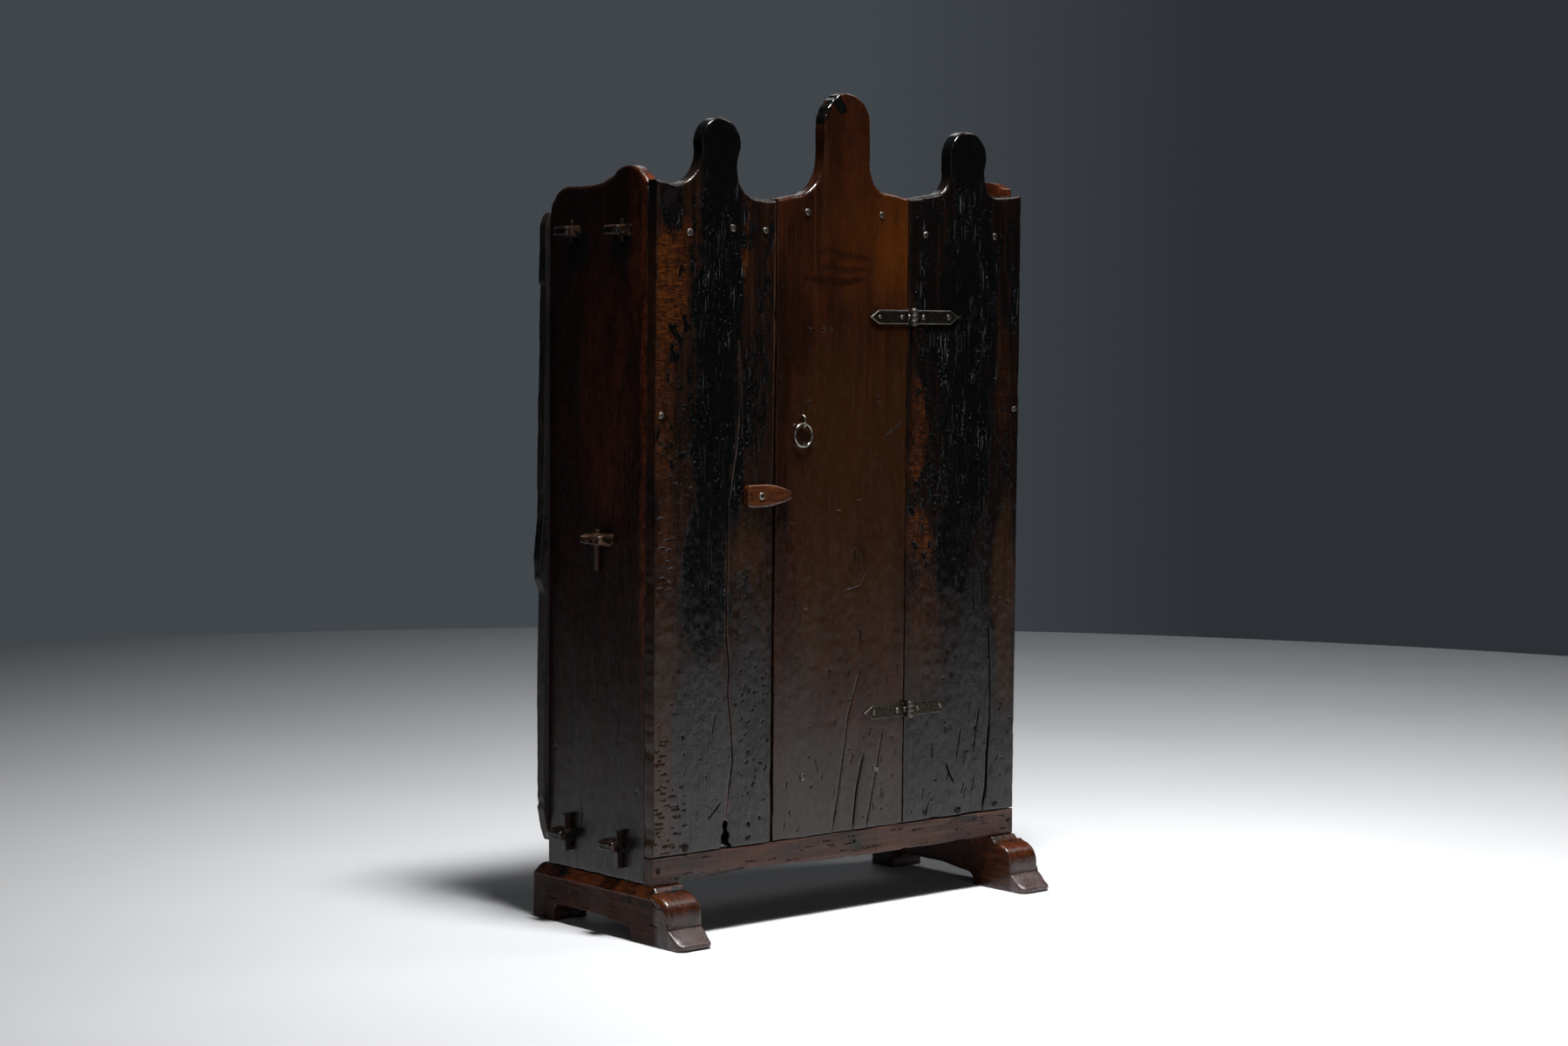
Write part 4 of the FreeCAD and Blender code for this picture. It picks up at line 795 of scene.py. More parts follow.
def short_cuts(box_low, box_high, count, length, wide, deep, turn, seed, stray=0.06):
    """Short cracks scattered in a rectangle, turned about the same way (radians)."""
    rng = np.random.default_rng(seed)
    made = []
    for _ in range(count):
        middle = np.array(rng.uniform(box_low, box_high))
        tilt = turn + rng.normal(0, stray)
        half = length * rng.uniform(0.35, 0.7)
        along = np.array([math.cos(tilt), math.sin(tilt)]) * half
        line = [middle - along, middle + along * 0.1 + (0, rng.normal(0, 0.6)), middle + along]
        made.append((line, wide * rng.uniform(0.7, 1.3), deep * rng.uniform(0.6, 1.2)))
    return made


def stroke_rows(box_low, box_high, gap, length, wide, deep, seed):
    """Level dashes in rows with uneven gaps, which never cross, as an adze leaves them."""
    rng = np.random.default_rng(seed)
    made = []
    for v in np.arange(box_low[1], box_high[1], gap):
        u = box_low[0] + rng.uniform(0, length)
        while u < box_high[0]:
            reach = length * rng.uniform(0.4, 1.0)
            lift = v + rng.normal(0, gap * 0.2)
            line = [(u, lift), (u + reach / 2, lift + rng.normal(0, 0.4)),
                    (u + reach, lift + rng.normal(0, 0.7))]
            made.append((line, wide * rng.uniform(0.7, 1.2), deep * rng.uniform(0.5, 1.2)))
            u += reach + length * rng.uniform(0.3, 1.6)
    return made


def scattered_pits(box_low, box_high, count, radius, deep, seed):
    """Small round holes scattered in a rectangle."""
    rng = np.random.default_rng(seed)
    return [(*rng.uniform(box_low, box_high), radius * rng.uniform(0.6, 1.4), deep * rng.uniform(0.5, 1.2))
            for _ in range(count)]


print("dashes in a 50 mm square:", len(stroke_rows((0, 0), (50, 50), 10, 20, 0.5, 0.5, 1)))

# %% Left board: soot in the middle, amber on the left
LEFT_STAINS = [
    ("char", 11, 14, [(-285, 1060, 50, 330, 1.0), (-290, 1320, 46, 60, 1.0), (-292, 800, 48, 150, 1.0),
                      (-215, 900, 40, 120, 0.7), (-184, 1020, 14, 200, 0.6), (-392, 1225, 34, 56, 0.7),
                      (-312, 590, 46, 120, 1.1), (-215, 1190, 30, 50, 0.6), (-264, 166, 17, 34, 1.2),
                      (-300, 200, 12, 6, 0.9), (-232, 500, 18, 120, 0.45)]),
    ("isles", 15, 14, [(-366, 940, 30, 190, 1.0), (-398, 850, 22, 70, 0.8), (-340, 1130, 14, 120, 0.9)]),
    ("amber", 12, 5, [(-390, 1075, 32, 90, 1.0), (-405, 890, 22, 130, 0.6), (-372, 1165, 30, 20, 0.5),
                      (-229, 1145, 5, 66, 0.8), (-203, 924, 5, 14, 0.8), (-400, 600, 22, 110, 0.45)]),
    ("faded", 19, 14, [(-404, 240, 26, 130, 0.8), (-215, 650, 34, 60, 0.8), (-400, 430, 24, 90, 0.5)]),
    ("grey", 13, 14, [(-398, 1226, 20, 20, 0.7), (-318, 310, 56, 150, 1.0), (-215, 300, 46, 190, 0.7),
                      (-320, 170, 50, 40, 0.6)]),
    ("dusk", 20, 14, [(-285, 1312, 60, 60, 1.0)])]
LEFT_SPLIT = [(-245, 985), (-242, 954), (-239, 903), (-244, 869), (-247, 819), (-256, 770), (-265, 718),
              (-264, 659), (-266, 552), (-267, 505), (-260, 448), (-262, 401), (-256, 358), (-250, 288),
              (-258, 237), (-264, 188)]
LEFT_DOOR_EDGE = -167


def left_marks(place, flat):
    """Stains, with sooty isles, pale torn wood along the split, and a painted highlight along the edge by
    the door.
    """
    masks = lay_stains(place, flat, LEFT_STAINS)
    masks["char"] = np.maximum(masks["char"], masks.pop("isles") * crumbs(place, 16, 0.3))
    gap = line_distance(flat, LEFT_SPLIT)[0]
    torn = np.clip(1 - np.abs(gap - 2.6) / 1.3, 0, 1)
    torn = torn * np.clip(0.6 + soft_noise(place, (6, 6, 26), 14), 0, 1)
    # A painted highlight: a pale line on the rim by the door, above 690 mm.
    edge = np.clip((flat[:, 0] - LEFT_DOOR_EDGE) / 1.5, 0, 1) * np.clip((flat[:, 1] - 690) / 40, 0, 1)
    edge = edge * 0.4 * np.clip(0.7 + 0.5 * soft_noise(place, (6, 6, 18), 18), 0, 1)
    masks["rim"] = np.maximum(torn * 0.75, edge)
    return masks


print("left board stains:", {row[0]: len(row[3]) for row in LEFT_STAINS})

# %% Left board: its split, dashes, holes and the knot hole at its foot
left_cracks = [(LEFT_SPLIT, 1.7, 3.0), ([(-289, 369), (-296, 336)], 1.2, 1.0),
               ([(-275, 221), (-303, 195)], 1.2, 1.0)]
left_cracks += stroke_rows((-421, 150), (-386, 335), 8.0, 22, 0.5, 0.6, 21)
left_cracks += stroke_rows((-390, 153), (-356, 260), 12.0, 16, 0.5, 0.55, 26)
left_cracks += short_cuts((-415, 575), (-385, 700), 12, 10, 1.3, 1.2, 0.1, 22)
left_cracks += short_cuts((-235, 190), (-175, 470), 44, 6, 0.75, 0.5, 0.75, 23, 0.25)
left_cracks += short_cuts((-322, 640), (-228, 1330), 24, 46, 0.45, 0.35, UPRIGHT, 24, 0.02)
left_cracks += short_cuts((-205, 760), (-170, 1200), 8, 40, 0.6, 0.5, UPRIGHT, 27, 0.02)
left_pits = [(-214, 178, 4, 4), (-190, 186, 3, 3), (-245, 383, 2.6, 3), (-358, 337, 3.2, 3),
             (-346, 746, 2, 2)]
left_pits += scattered_pits((-410, 150), (-175, 1230), 34, 1.1, 0.8, 25)
NOTCH = [(-277, 0), (-272, 9), (-274, 19), (-269, 29), (-271, 40), (-266, 48), (-260, 44), (-262, 33),
         (-256, 23), (-259, 11), (-249, 0)]


def foot_notch(ring):
    """Opens the knot hole where the split runs out, and eases the lower edge away from the door."""
    bottom = ring[:, 1].min()
    ring = even_steps(ring, 400)
    low = [k for k in range(len(ring)) if abs(ring[k, 1] - bottom) < 0.5 and ring[k, 0] < NOTCH[0][0] + 1]
    after = max(low, key=lambda k: ring[k, 0])
    notch = np.array(NOTCH) + (0, bottom)
    ring = even_steps(np.concatenate([ring[:after + 1], notch, ring[after + 1:]]), 30)
    beside_door = (ring[:, 0] > LEFT_DOOR_EDGE + 1) & (ring[:, 1] < 1200)
    ring[beside_door, 0] -= 2.4 * np.clip((1000 - ring[beside_door, 1]) / 300, 0, 1)
    return ring


left_board = worn_board("left_front_board", "front_board_left", 1, -1, left_board_wood, 3.0, left_marks,
                        foot_notch, left_cracks, left_pits, hewn_face(31, smooth_above=1200), seed=41)
stand_in(left_board, "front_board_left", "case")

# %% Door board: red-brown, amber towards the hinges, grey below
DOOR_STAINS = [
    ("char", 51, 14, [(-54, 1366, 14, 26, 1.4), (-38, 1388, 28, 19, 1.5)]),
    ("grey", 53, 22, [(-70, 215, 80, 130, 1.0), (60, 190, 90, 80, 0.8), (-110, 370, 46, 70, 0.6)]),
    ("dusk", 54, 5, [(-30, 1092, 76, 6, 0.75), (-10, 1112, 60, 5, 0.6), (0, 1136, 56, 6, 0.6),
                     (-150, 960, 20, 140, 1.0), (-112, 1000, 34, 60, 0.7), (52, 1060, 7, 80, 0.4),
                     (96, 980, 9, 90, 0.35), (-150, 700, 16, 180, 0.7), (-118, 545, 7, 40, 0.7),
                     (-50, 500, 8, 50, 0.4), (36, 615, 9, 34, 0.5), (40, 482, 6, 20, 0.6),
                     (128, 560, 14, 120, 0.5), (90, 1040, 30, 16, 0.3)])]
AMBER_HEIGHT = 1160


def door_marks(place, flat):
    """Stains, an amber glow that grows towards the hinges, and bleached wood in the lower half."""
    masks = lay_stains(place, flat, DOOR_STAINS)
    rise = np.clip((flat[:, 0] + 100 + 18 * soft_noise(place, (40, 40, 120), 52)) / 215, 0, 1) ** 1.2
    amber = rise * np.exp(-((flat[:, 1] - AMBER_HEIGHT) / 105) ** 2)
    masks["amber"] = np.clip(amber * (0.85 + 0.3 * soft_noise(place, (14, 14, 60), 55)), 0, 1)
    faded = np.clip((1040 - flat[:, 1]) / 140, 0, 1) * np.clip((flat[:, 1] - 330) / 160, 0, 1)
    faded *= np.clip((flat[:, 0] + 135) / 45, 0, 1) * (0.85 + 0.3 * soft_noise(place, (40, 40, 120), 56))
    masks["faded"] = np.clip(faded, 0, 1)
    return masks


print("door stains:", {row[0]: len(row[3]) for row in DOOR_STAINS})

# %% Door board: its cracks, plugs, old nail holes and broken head
door_cracks = [([(39, 427), (24, 380), (10, 340), (2, 286), (-9, 216), (-24, 142)], 1.5, 4.0),
               ([(48, 276), (33, 216), (24, 142)], 2.6, 3.4),
               ([(93, 315), (87, 283), (78, 242), (55, 142)], 1.4, 4.0),
               ([(51, 586), (37, 565), (1, 558)], 1.2, 1.0), ([(87, 819), (130, 846)], 1.4, 1.2),
               ([(24, 630), (24, 608)], 1.8, 2.2), ([(38, 492), (38, 470)], 1.8, 2.2)]
for u, v, radius in ((-88, 880, 7), (74, 887, 6)):
    plug = circle(u, v, radius, 12)
    door_cracks.append((plug + plug[:1], 0.9, 0.7))
door_cracks += short_cuts((-140, 450), (130, 1250), 14, 30, 0.6, 0.3, UPRIGHT, 62, 0.02)
door_cracks += short_cuts((-140, 160), (130, 420), 22, 12, 0.9, 0.7, 1.45, 63, 0.1)
door_pits = [(-86, 1007, 2.8, 3), (-55, 1007, 2.8, 3), (-37, 1007, 2.8, 3), (-16, 696, 3, 3),
             (31, 712, 3, 3), (-90, 530, 2.4, 2)]
door_pits += scattered_pits((-140, 150), (130, 430), 16, 1.1, 0.8, 64)
door_pits += scattered_pits((-140, 430), (130, 1330), 12, 1.1, 0.7, 65)
HEAD_CENTRE = (-4.4, 1357)
BITE_TURNS = [95, 103, 112, 120, 131, 140, 150, 158, 168, 176]
BITE_DEPTHS = [0, 0.5, 0.2, 2.0, 1.2, 2.6, 0.8, 1.8, 0.4, 0]


def chipped_head(ring):
    """Breaks the upper left of the door's round head, between two turns round it (degrees)."""
    made = even_steps(ring, 2.5)
    turn = np.degrees(np.arctan2(made[:, 1] - HEAD_CENTRE[1], made[:, 0] - HEAD_CENTRE[0]))
    bite = np.where(made[:, 1] > 1300, np.interp(turn, BITE_TURNS, BITE_DEPTHS), 0)
    return made + inward(made) * bite[:, None]


door_board = worn_board("door_plank", "door_board", 1, -1, door_wood, 3.0, door_marks, chipped_head,
                        door_cracks, door_pits, hewn_face(71, 0.8, 0.18, 0.15), seed=81)
stand_in(door_board, "door_board", "door")

# %% Right board: soot with fine lines of painted glint, amber by the door
RIGHT_STAINS = [
    ("char", 91, 14, [(288, 1010, 62, 330, 1.0), (288, 1310, 46, 60, 1.0), (390, 1120, 36, 120, 0.7),
                      (262, 640, 42, 110, 1.0), (300, 760, 50, 80, 1.0), (185, 1170, 34, 130, 0.65),
                      (205, 1000, 36, 90, 0.7), (338, 640, 8, 90, 0.6)]),
    ("isles", 95, 14, [(186, 780, 36, 190, 1.0), (390, 760, 20, 120, 0.7)]),
    ("amber", 92, 14, [(166, 825, 22, 84, 0.9), (176, 640, 26, 44, 1.0), (182, 530, 30, 90, 0.45),
                       (168, 1010, 16, 60, 0.4), (245, 1165, 18, 40, 0.4), (386, 920, 18, 90, 0.3)]),
    ("faded", 98, 14, [(392, 500, 24, 170, 0.7), (190, 420, 40, 90, 0.4)]),
    ("grey", 93, 16, [(312, 330, 42, 200, 1.0), (323, 543, 11, 30, 1.0), (230, 240, 90, 110, 0.7),
                      (392, 220, 30, 90, 0.5)]),
    ("dusk", 94, 14, [(288, 1312, 60, 60, 1.0)])]


def right_marks(place, flat):
    """Stains, with sooty isles."""
    masks = lay_stains(place, flat, RIGHT_STAINS)
    masks["char"] = np.maximum(masks["char"], masks.pop("isles") * crumbs(place, 96, 0.2))
    return masks


right_cracks = [([(351, 497), (356, 400), (358, 311), (352, 246), (350, 186), (343, 150)], 2.2, 2.6),
                ([(358, 311), (352, 246), (350, 186), (341, 146)], 3.4, 4.0),
                ([(285, 299), (279, 270), (274, 245)], 1.6, 1.6),
                ([(331, 333), (322, 290), (317, 250)], 1.4, 1.4),
                ([(249, 238), (258, 218), (269, 201)], 2.0, 2.0),
                ([(312, 575), (311, 540), (316, 510)], 1.2, 1.0),
                ([(333, 575), (335, 540), (330, 508)], 1.2, 1.0)]
right_cracks += short_cuts((240, 620), (352, 1320), 30, 60, 0.45, 0.35, UPRIGHT, 101, 0.02)
right_cracks += short_cuts((350, 500), (415, 1200), 16, 40, 0.6, 0.5, UPRIGHT, 104, 0.02)
right_cracks += short_cuts((180, 160), (400, 330), 18, 20, 0.7, 0.5, 1.3, 102, 0.12)
right_pits = [(400, 518, 2.6, 2), (366, 556, 2.4, 2)]
right_pits += scattered_pits((160, 150), (410, 1230), 34, 1.1, 0.8, 103)
right_board = worn_board("right_front_board", "front_board_right", 1, -1, right_board_wood, 3.0,
                         right_marks, None, right_cracks, right_pits,
                         hewn_face(111, smooth_above=1200), seed=121)
stand_in(right_board, "front_board_right", "case")

# %% [markdown]
# ## Sides, shelves, apron and back
# These are planks too, so the same board maker serves them. The shelves' tenons run through the
# sides and stand proud, the back's left plank keeps its natural wavy edge with a bulge where a
# branch was, and the apron is lighter because its grain is open and dry.

# %% Sides
SIDE_STAINS = [
    ("char", 131, 14, [(-22, 1140, 34, 40, 0.75), (100, 1135, 34, 40, 0.75), (38, 640, 40, 34, 0.6),
                       (-24, 165, 46, 50, 0.7), (110, 165, 46, 50, 0.7), (160, 700, 14, 420, 0.5)]),
    ("amber", 132, 4, [(-78, 900, 6, 420, 1.0), (-60, 1150, 24, 120, 0.4), (20, 900, 60, 200, 0.3)]),
    ("grey", 133, 14, [(40, 200, 140, 120, 0.3)])]


def side_marks(place, flat):
    """Stains, and an amber glow along the front edge."""
    masks = lay_stains(place, flat, SIDE_STAINS)
    glow = np.clip((-66 - flat[:, 0]) / 7, 0, 1) * np.clip((flat[:, 1] - 430) / 260, 0, 0.7)
    glow *= np.clip(0.75 + 0.5 * soft_noise(place, (30, 30, 90), 134), 0, 1)
    masks["amber"] = np.maximum(masks["amber"], glow)
    return masks


def round_front_top(ring):
    """Lets the side's top run down to the front board's corner, as the real one is rubbed."""
    made = even_steps(ring, 4.0)
    front = (made[:, 1] > 1240) & (made[:, 0] < -34)
    made[front, 1] -= np.clip((-34 - made[front, 0]) / 52, 0, 1) ** 1.5 * 17
    return made


side_cracks = short_cuts((-60, 200), (150, 1100), 8, 50, 0.45, 0.25, UPRIGHT, 141, 0.02)
side_pits = scattered_pits((-70, 130), (160, 1200), 14, 1.1, 0.7, 142)
left_side = worn_board("left_side_plank", "left_side_panel", 0, -1, side_wood, 4.0, side_marks,
                       round_front_top, side_cracks, side_pits, hewn_face(151, 0.9, 0.2, 0.2), seed=161)
stand_in(left_side, "left_side_panel", "case")
right_side = worn_board("right_side_plank", "right_side_panel", 0, 1, side_wood, 4.5, side_marks, None,
                        side_cracks[:5], side_pits[:8], hewn_face(152, 0.9, 0.2, 0.2), seed=162)
stand_in(right_side, "right_side_panel", "case")

# %% Marks on the shelves and their tenons
SHELF_STAINS = [("grey", 171, 14, [(0, 0, 400, 200, 0.35)]),
                ("char", 172, 14, [(-300, 40, 90, 40, 0.4), (220, -20, 120, 30, 0.4)])]
SIDE_FACE = 416
OUTERMOST = 454


def dusty_marks(place, flat):
    """Plain boards that dust has greyed a little; their tenons' ends are dark and slightly chipped."""
    masks = lay_stains(place, flat, SHELF_STAINS)
    ends = np.clip((np.abs(flat[:, 0]) - SIDE_FACE) / 4, 0, 1)
    masks["char"] = np.maximum(masks["char"], ends * 1.4)
    masks["amber"] = masks["grey"] * 0.3
    masks["rim"] = ends * np.clip(soft_noise(place, 5, 174) * 2.4, 0, 1) * 0.22
    return masks


def chipped_marks(place, flat):
    """The middle shelf's tenons are chipped pale."""
    masks = dusty_marks(place, flat)
    ends = np.clip((np.abs(flat[:, 0]) - SIDE_FACE - 2) / 4, 0, 1)
    chipped = ends * np.clip(soft_noise(place, 4, 178) * 3, 0, 1) * 0.9
    masks["rim"] = np.maximum(masks["rim"], chipped)
    return masks


def rub_tenons(points):
    """Rounds the tenons' ends and thins them, as hands and brooms have."""
    made = points.copy()
    past = np.clip((np.abs(points[:, 0]) - 424) / 30, 0, 1) ** 2
    level = (points[:, 2].min() + points[:, 2].max()) / 2
    made[:, 2] = level + (points[:, 2] - level) * (1 - 0.42 * past)
    uneven = [soft_noise(points, 8, seed) for seed in (175, 176, 177)]
    made += (past * 0.9)[:, None] * np.stack(uneven, axis=1)
    made[:, 0] = np.clip(made[:, 0], -OUTERMOST, OUTERMOST)
    return made

# %% Shelves with their tenons, and the top
shelf_face = hewn_face(181, 0.5, 0.2, 0.15)
for name, node, marks, seed in (("top_plank", "top_board", dusty_marks, 182),
                                ("middle_plank", "middle_shelf", chipped_marks, 183),
                                ("bottom_plank", "bottom_shelf", dusty_marks, 184)):
    shelf = worn_board(name, node, 2, 1, shelf_wood, 4.5, marks, relief=shelf_face, joint_rim=1.0,
                       reshape=rub_tenons, seed=seed)
    stand_in(shelf, node, "case")

# %% Apron
APRON_STAINS = [
    ("char", 191, 6, [(29, 122, 12, 10, 0.9), (-300, 100, 60, 10, 0.5), (300, 128, 60, 8, 0.5)]),
    ("amber", 192, 6, [(-200, 115, 60, 20, 0.4), (160, 115, 60, 20, 0.4)])]
APRON_CHIPS = ((-322, 9, 2.5), (-268, 14, 2.0), (-196, 7, 2.4), (-150, 20, 1.2), (12, 12, 1.6),
               (150, 9, 2.2))


def apron_marks(place, flat):
    """Stains alone."""
    return lay_stains(place, flat, APRON_STAINS)


def up_to_boards(ring):
    """Lifts the apron's top edge to the boards above, and breaks small chips out of its lower edge."""
    made = even_steps(np.where(ring[:, 1:] > 136, [1.0, 140.2 / 137], 1.0) * ring, 3.0)
    under = (made[:, 1] < 133) & (np.abs(made[:, 0]) < 400)
    for across, half, deep in APRON_CHIPS:
        made[under, 1] += deep * np.clip(1 - ((made[under, 0] - across) / half) ** 2, 0, 1)
    return made


apron_cracks = short_cuts((-400, 100), (400, 132), 36, 22, 0.45, 0.35, 0.0, 193)
apron_board = worn_board("apron_plank", "apron", 1, -1, apron_wood, 3.0, apron_marks, up_to_boards,
                         apron_cracks, [(29, 122, 3.5, 1.6)], hewn_face(194, 0.5, 0.4, 0.3), seed=195)
stand_in(apron_board, "apron", "case")

# %% Back planks, the left one with its live edge
BACK_STAINS = [
    ("char", 201, 14, [(-436, 650, 14, 40, 1.0), (-434, 700, 22, 700, 0.6), (-200, 700, 60, 300, 0.4),
                       (120, 500, 60, 300, 0.4)]),
    ("amber", 202, 14, [(0, 900, 80, 300, 0.3), (300, 500, 60, 300, 0.3)]),
    ("grey", 203, 14, [(0, 300, 400, 200, 0.5)])]
BULGE_HEIGHT = 655


def back_marks(place, flat):
    """Stains alone."""
    return lay_stains(place, flat, BACK_STAINS)


def live_edge(ring):
    """Thins the left plank's wavy edge a little, except at the bulge of the old branch."""
    made = even_steps(ring, 6.0)
    out = (made[:, 0] < -431) & (np.abs(made[:, 1] - BULGE_HEIGHT) > 40)
    made[out, 0] += np.clip((np.abs(made[out, 1] - BULGE_HEIGHT) - 40) / 20, 0, 1) * 3.5
    return made


back_cracks = short_cuts((-400, 150), (400, 1180), 60, 80, 1.2, 1.0, 1.56, 204)
for count, word in enumerate(("left", "centre", "right")):
    low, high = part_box("back_board_" + word)
    own = [c for c in back_cracks if low.x * 1000 + 14 < c[0][1][0] < high.x * 1000 - 14]
    plank = worn_board("back_plank_" + word, "back_board_" + word, 1, 1, back_wood, 5.0, back_marks,
                       live_edge, own, (), hewn_face(205 + count, 1.0, 0.4, 0.3), round_rim=3.0,
                       wear=1.0, seed=208 + count, edge_mark=0.0)
    stand_in(plank, "back_board_" + word, "case")

# %% [markdown]
# ## Solid pieces with rubbed edges
# The wedges, pegs and door battens are small solids whose edges have worn round. Copying the CAD
# solid and remeshing it in small cubes rounds every edge alike, as years of rubbing do, and noise
# along the normals then adds dents. Modelling each by hand would take longer and give the same soft
# edge. The turn button is cut by the board maker, with wide round rims.

# %% Modifiers become a plain mesh
def freeze(made):
    """Turns what an object's modifiers show into its own plain mesh."""
    graph = bpy.context.evaluated_depsgraph_get()
    plain = bpy.data.meshes.new_from_object(made.evaluated_get(graph))
    made.modifiers.clear()
    made.data = plain
    return plain


def merged(node):
    """A CAD node's mesh with its loose triangles joined, as an open bmesh; the node stays as it is."""
    shape = bmesh.new()
    shape.from_mesh(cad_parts[node].data)
    bmesh.ops.remove_doubles(shape, verts=shape.verts, dist=0.00002)
    return shape

# %% How sharply each point of a mesh stands out
def bulge_of(mesh, spots, normals, cube):
    """How far each point stands above the middle of its neighbours, in cubes."""
    pairs = read_rows(mesh.edges, "vertices", 2, np.int64)
    around = np.zeros((len(spots), 3))
    near = np.zeros(len(spots))
    for a, b in ((0, 1), (1, 0)):
        np.add.at(around, pairs[:, a], spots[pairs[:, b]])
        np.add.at(near, pairs[:, a], 1)
    return -np.sum((around / np.maximum(near, 1)[:, None] - spots) * normals, axis=1) / cube

# %% A worn copy of a CAD solid
def worn_copy(name, node, cube, material, dents, marks, seed, rub):
    """A copy of a CAD node remeshed in small cubes (millimetres), smoothed, and dented by noise."""
    mesh = bpy.data.meshes.new(name)
    shape = merged(node)
    shape.to_mesh(mesh)
    shape.free()
    made = new_object(name, mesh)
    cubes = made.modifiers.new("cubes", "REMESH")
    cubes.mode = "VOXEL"
    cubes.voxel_size = cube / 1000
    cubes.use_smooth_shade = True
    rounded = made.modifiers.new("rubbed", "SMOOTH")
    rounded.factor = 0.5
    rounded.iterations = rub
    plain = freeze(made)
    spots = read_rows(plain.vertices, "co") * 1000
    normals = read_rows(plain.vertices, "normal")
    push = -dents * 0.6
    for size, share in ((26, 0.6), (9, 0.35), (4, 0.2)):
        push = push + dents * share * soft_noise(spots, size, seed + size)
    masks = marks(spots)
    bulge = bulge_of(plain, spots, normals, cube)
    masks["worn"] = np.maximum(masks["worn"], np.clip(bulge * 7 - 0.25, 0, 1))
    spots = spots + normals * push[:, None]
    plain.vertices.foreach_set("co", (spots / 1000).ravel())
    write_masks(plain, masks)
    plain.materials.clear()
    plain.materials.append(material)
    plain.update()
    print(name, "vertices", len(spots))
    return made

# %% [markdown]
# ## Forged iron and bright steel
# The straps are hand-forged iron, oiled black-brown, with thin bright lines where hands and the
# door rub the edges; the lines are partly a painted highlight. The ring, its staple and the washer
# are bright steel wire and plate. Both are
# metals: full metallic, default IOR, and a roughness that the hammer marks vary.

# %% Metals
GRIT_MM = 0.9
RUBBED_AND_HIGHLIGHT_BRIGHT = "#b9b4ac"
LOW_HEAD_DARK = "#0d0b0a"


def forged_metal(name, deep, shine, rough, dents_mm, bump):
    """A metal whose colour and roughness vary with scale and hammer marks."""
    material, shader = new_material(name, [
        ("scale", NOISE, {"Vector": "place", "Scale": 1000 / dents_mm, "Detail": 4.0}),
        ("grit", NOISE, {"Vector": "place", "Scale": 1000 / GRIT_MM, "Detail": 2.0}),
        ("worn", MASK, {}, {"attribute_name": "worn"}),
        ("grime", MASK, {}, {"attribute_name": "grime"}),
        ("shine share", RANGE, {"Value": "scale", "From Min": 0.35, "From Max": 0.68}),
        ("iron", MIX, {0: "shine share", 6: paint(deep), 7: paint(shine)}, COLOURS),
        ("bright share", MATH, {0: "worn", 1: 0.85}, TIMES),
        # Pale edges: partly rubbed iron, partly a painted highlight.
        ("rubbed", MIX, {0: "bright share", 6: "iron", 7: paint(RUBBED_AND_HIGHLIGHT_BRIGHT)}, COLOURS),
        # The lowest nail heads are darkened by their height alone.
        ("colour", MIX, {0: "grime", 6: "rubbed", 7: paint(LOW_HEAD_DARK)}, COLOURS),
        ("level", RANGE, {"Value": "grit", "From Min": 0.3, "From Max": 0.7, "To Min": rough,
                          "To Max": rough + 0.22}),
        ("height", MATH, {0: "grit", 1: 0.35, 2: "scale"}, TIMES_PLUS),
        ("dents", BUMP, {"Height": "height", "Strength": bump, "Distance": 0.0006})],
        {"Base Color": "colour", "Roughness": "level", "Normal": "dents"})
    shader.inputs["Metallic"].default_value = 1.0
    return material


# Forged straps blackened with oil: dark, with bright corners that are partly rubbed and partly painted
# highlight.
hinge_iron = forged_metal("oiled_forged_iron", "#25201b", "#463f37", 0.3, 5.0, 0.6)
# Hammered nail heads rubbed by polishing cloths: small broken sparkles.
nail_iron = forged_metal("rubbed_hammered_iron", "#2b2723", "#7f796f", 0.27, 1.6, 0.9)
# Drawn steel wire, hand-bent and rubbed: it mirrors the dark room between bright lines.
ring_steel = forged_metal("hand_bent_drawn_steel", "#6b675f", "#a5a199", 0.1, 6.0, 0.15)
print("metals:", [m.name for m in (hinge_iron, nail_iron, ring_steel)])

# %% Wedges, pegs and battens
def plain_marks(place):
    """Soft patches of every stain, for small pieces."""
    soft = soft_noise(place, 12, 231)
    return {"char": np.clip(soft - 0.1, 0, 1), "amber": np.clip(0.5 + soft, 0, 1),
            "worn": np.clip(-soft, 0, 1) * 0.3}


for seed, (node, cube, material, dents, rub, body, slot) in enumerate((
        ("left_foot_pegs", 1.2, key_wood, 0.3, 2, "case", "key_wood"),
        ("right_foot_pegs", 1.2, key_wood, 0.3, 2, "case", "key_wood"),
        ("top_tenon_keys", 1.0, key_wood, 0.5, 3, "case", "key_wood"),
        ("middle_tenon_keys", 1.0, bare_key_wood, 0.5, 3, "case", "key_wood"),
        ("bottom_tenon_keys", 1.0, key_wood, 0.5, 3, "case", "key_wood"),
        ("door_batten_top", 2.5, shelf_wood, 0.5, 2, "door", "shelf_wood"),
        ("door_batten_bottom", 2.5, shelf_wood, 0.5, 2, "door", "shelf_wood"))):
    piece = worn_copy(node + "_worn", node, cube, material, dents, plain_marks, seed, rub)
    stand_in(piece, node, body)

# %% The turn button, a little boat of wood with fully rounded edges
CORNER_RADIUS = 7.0


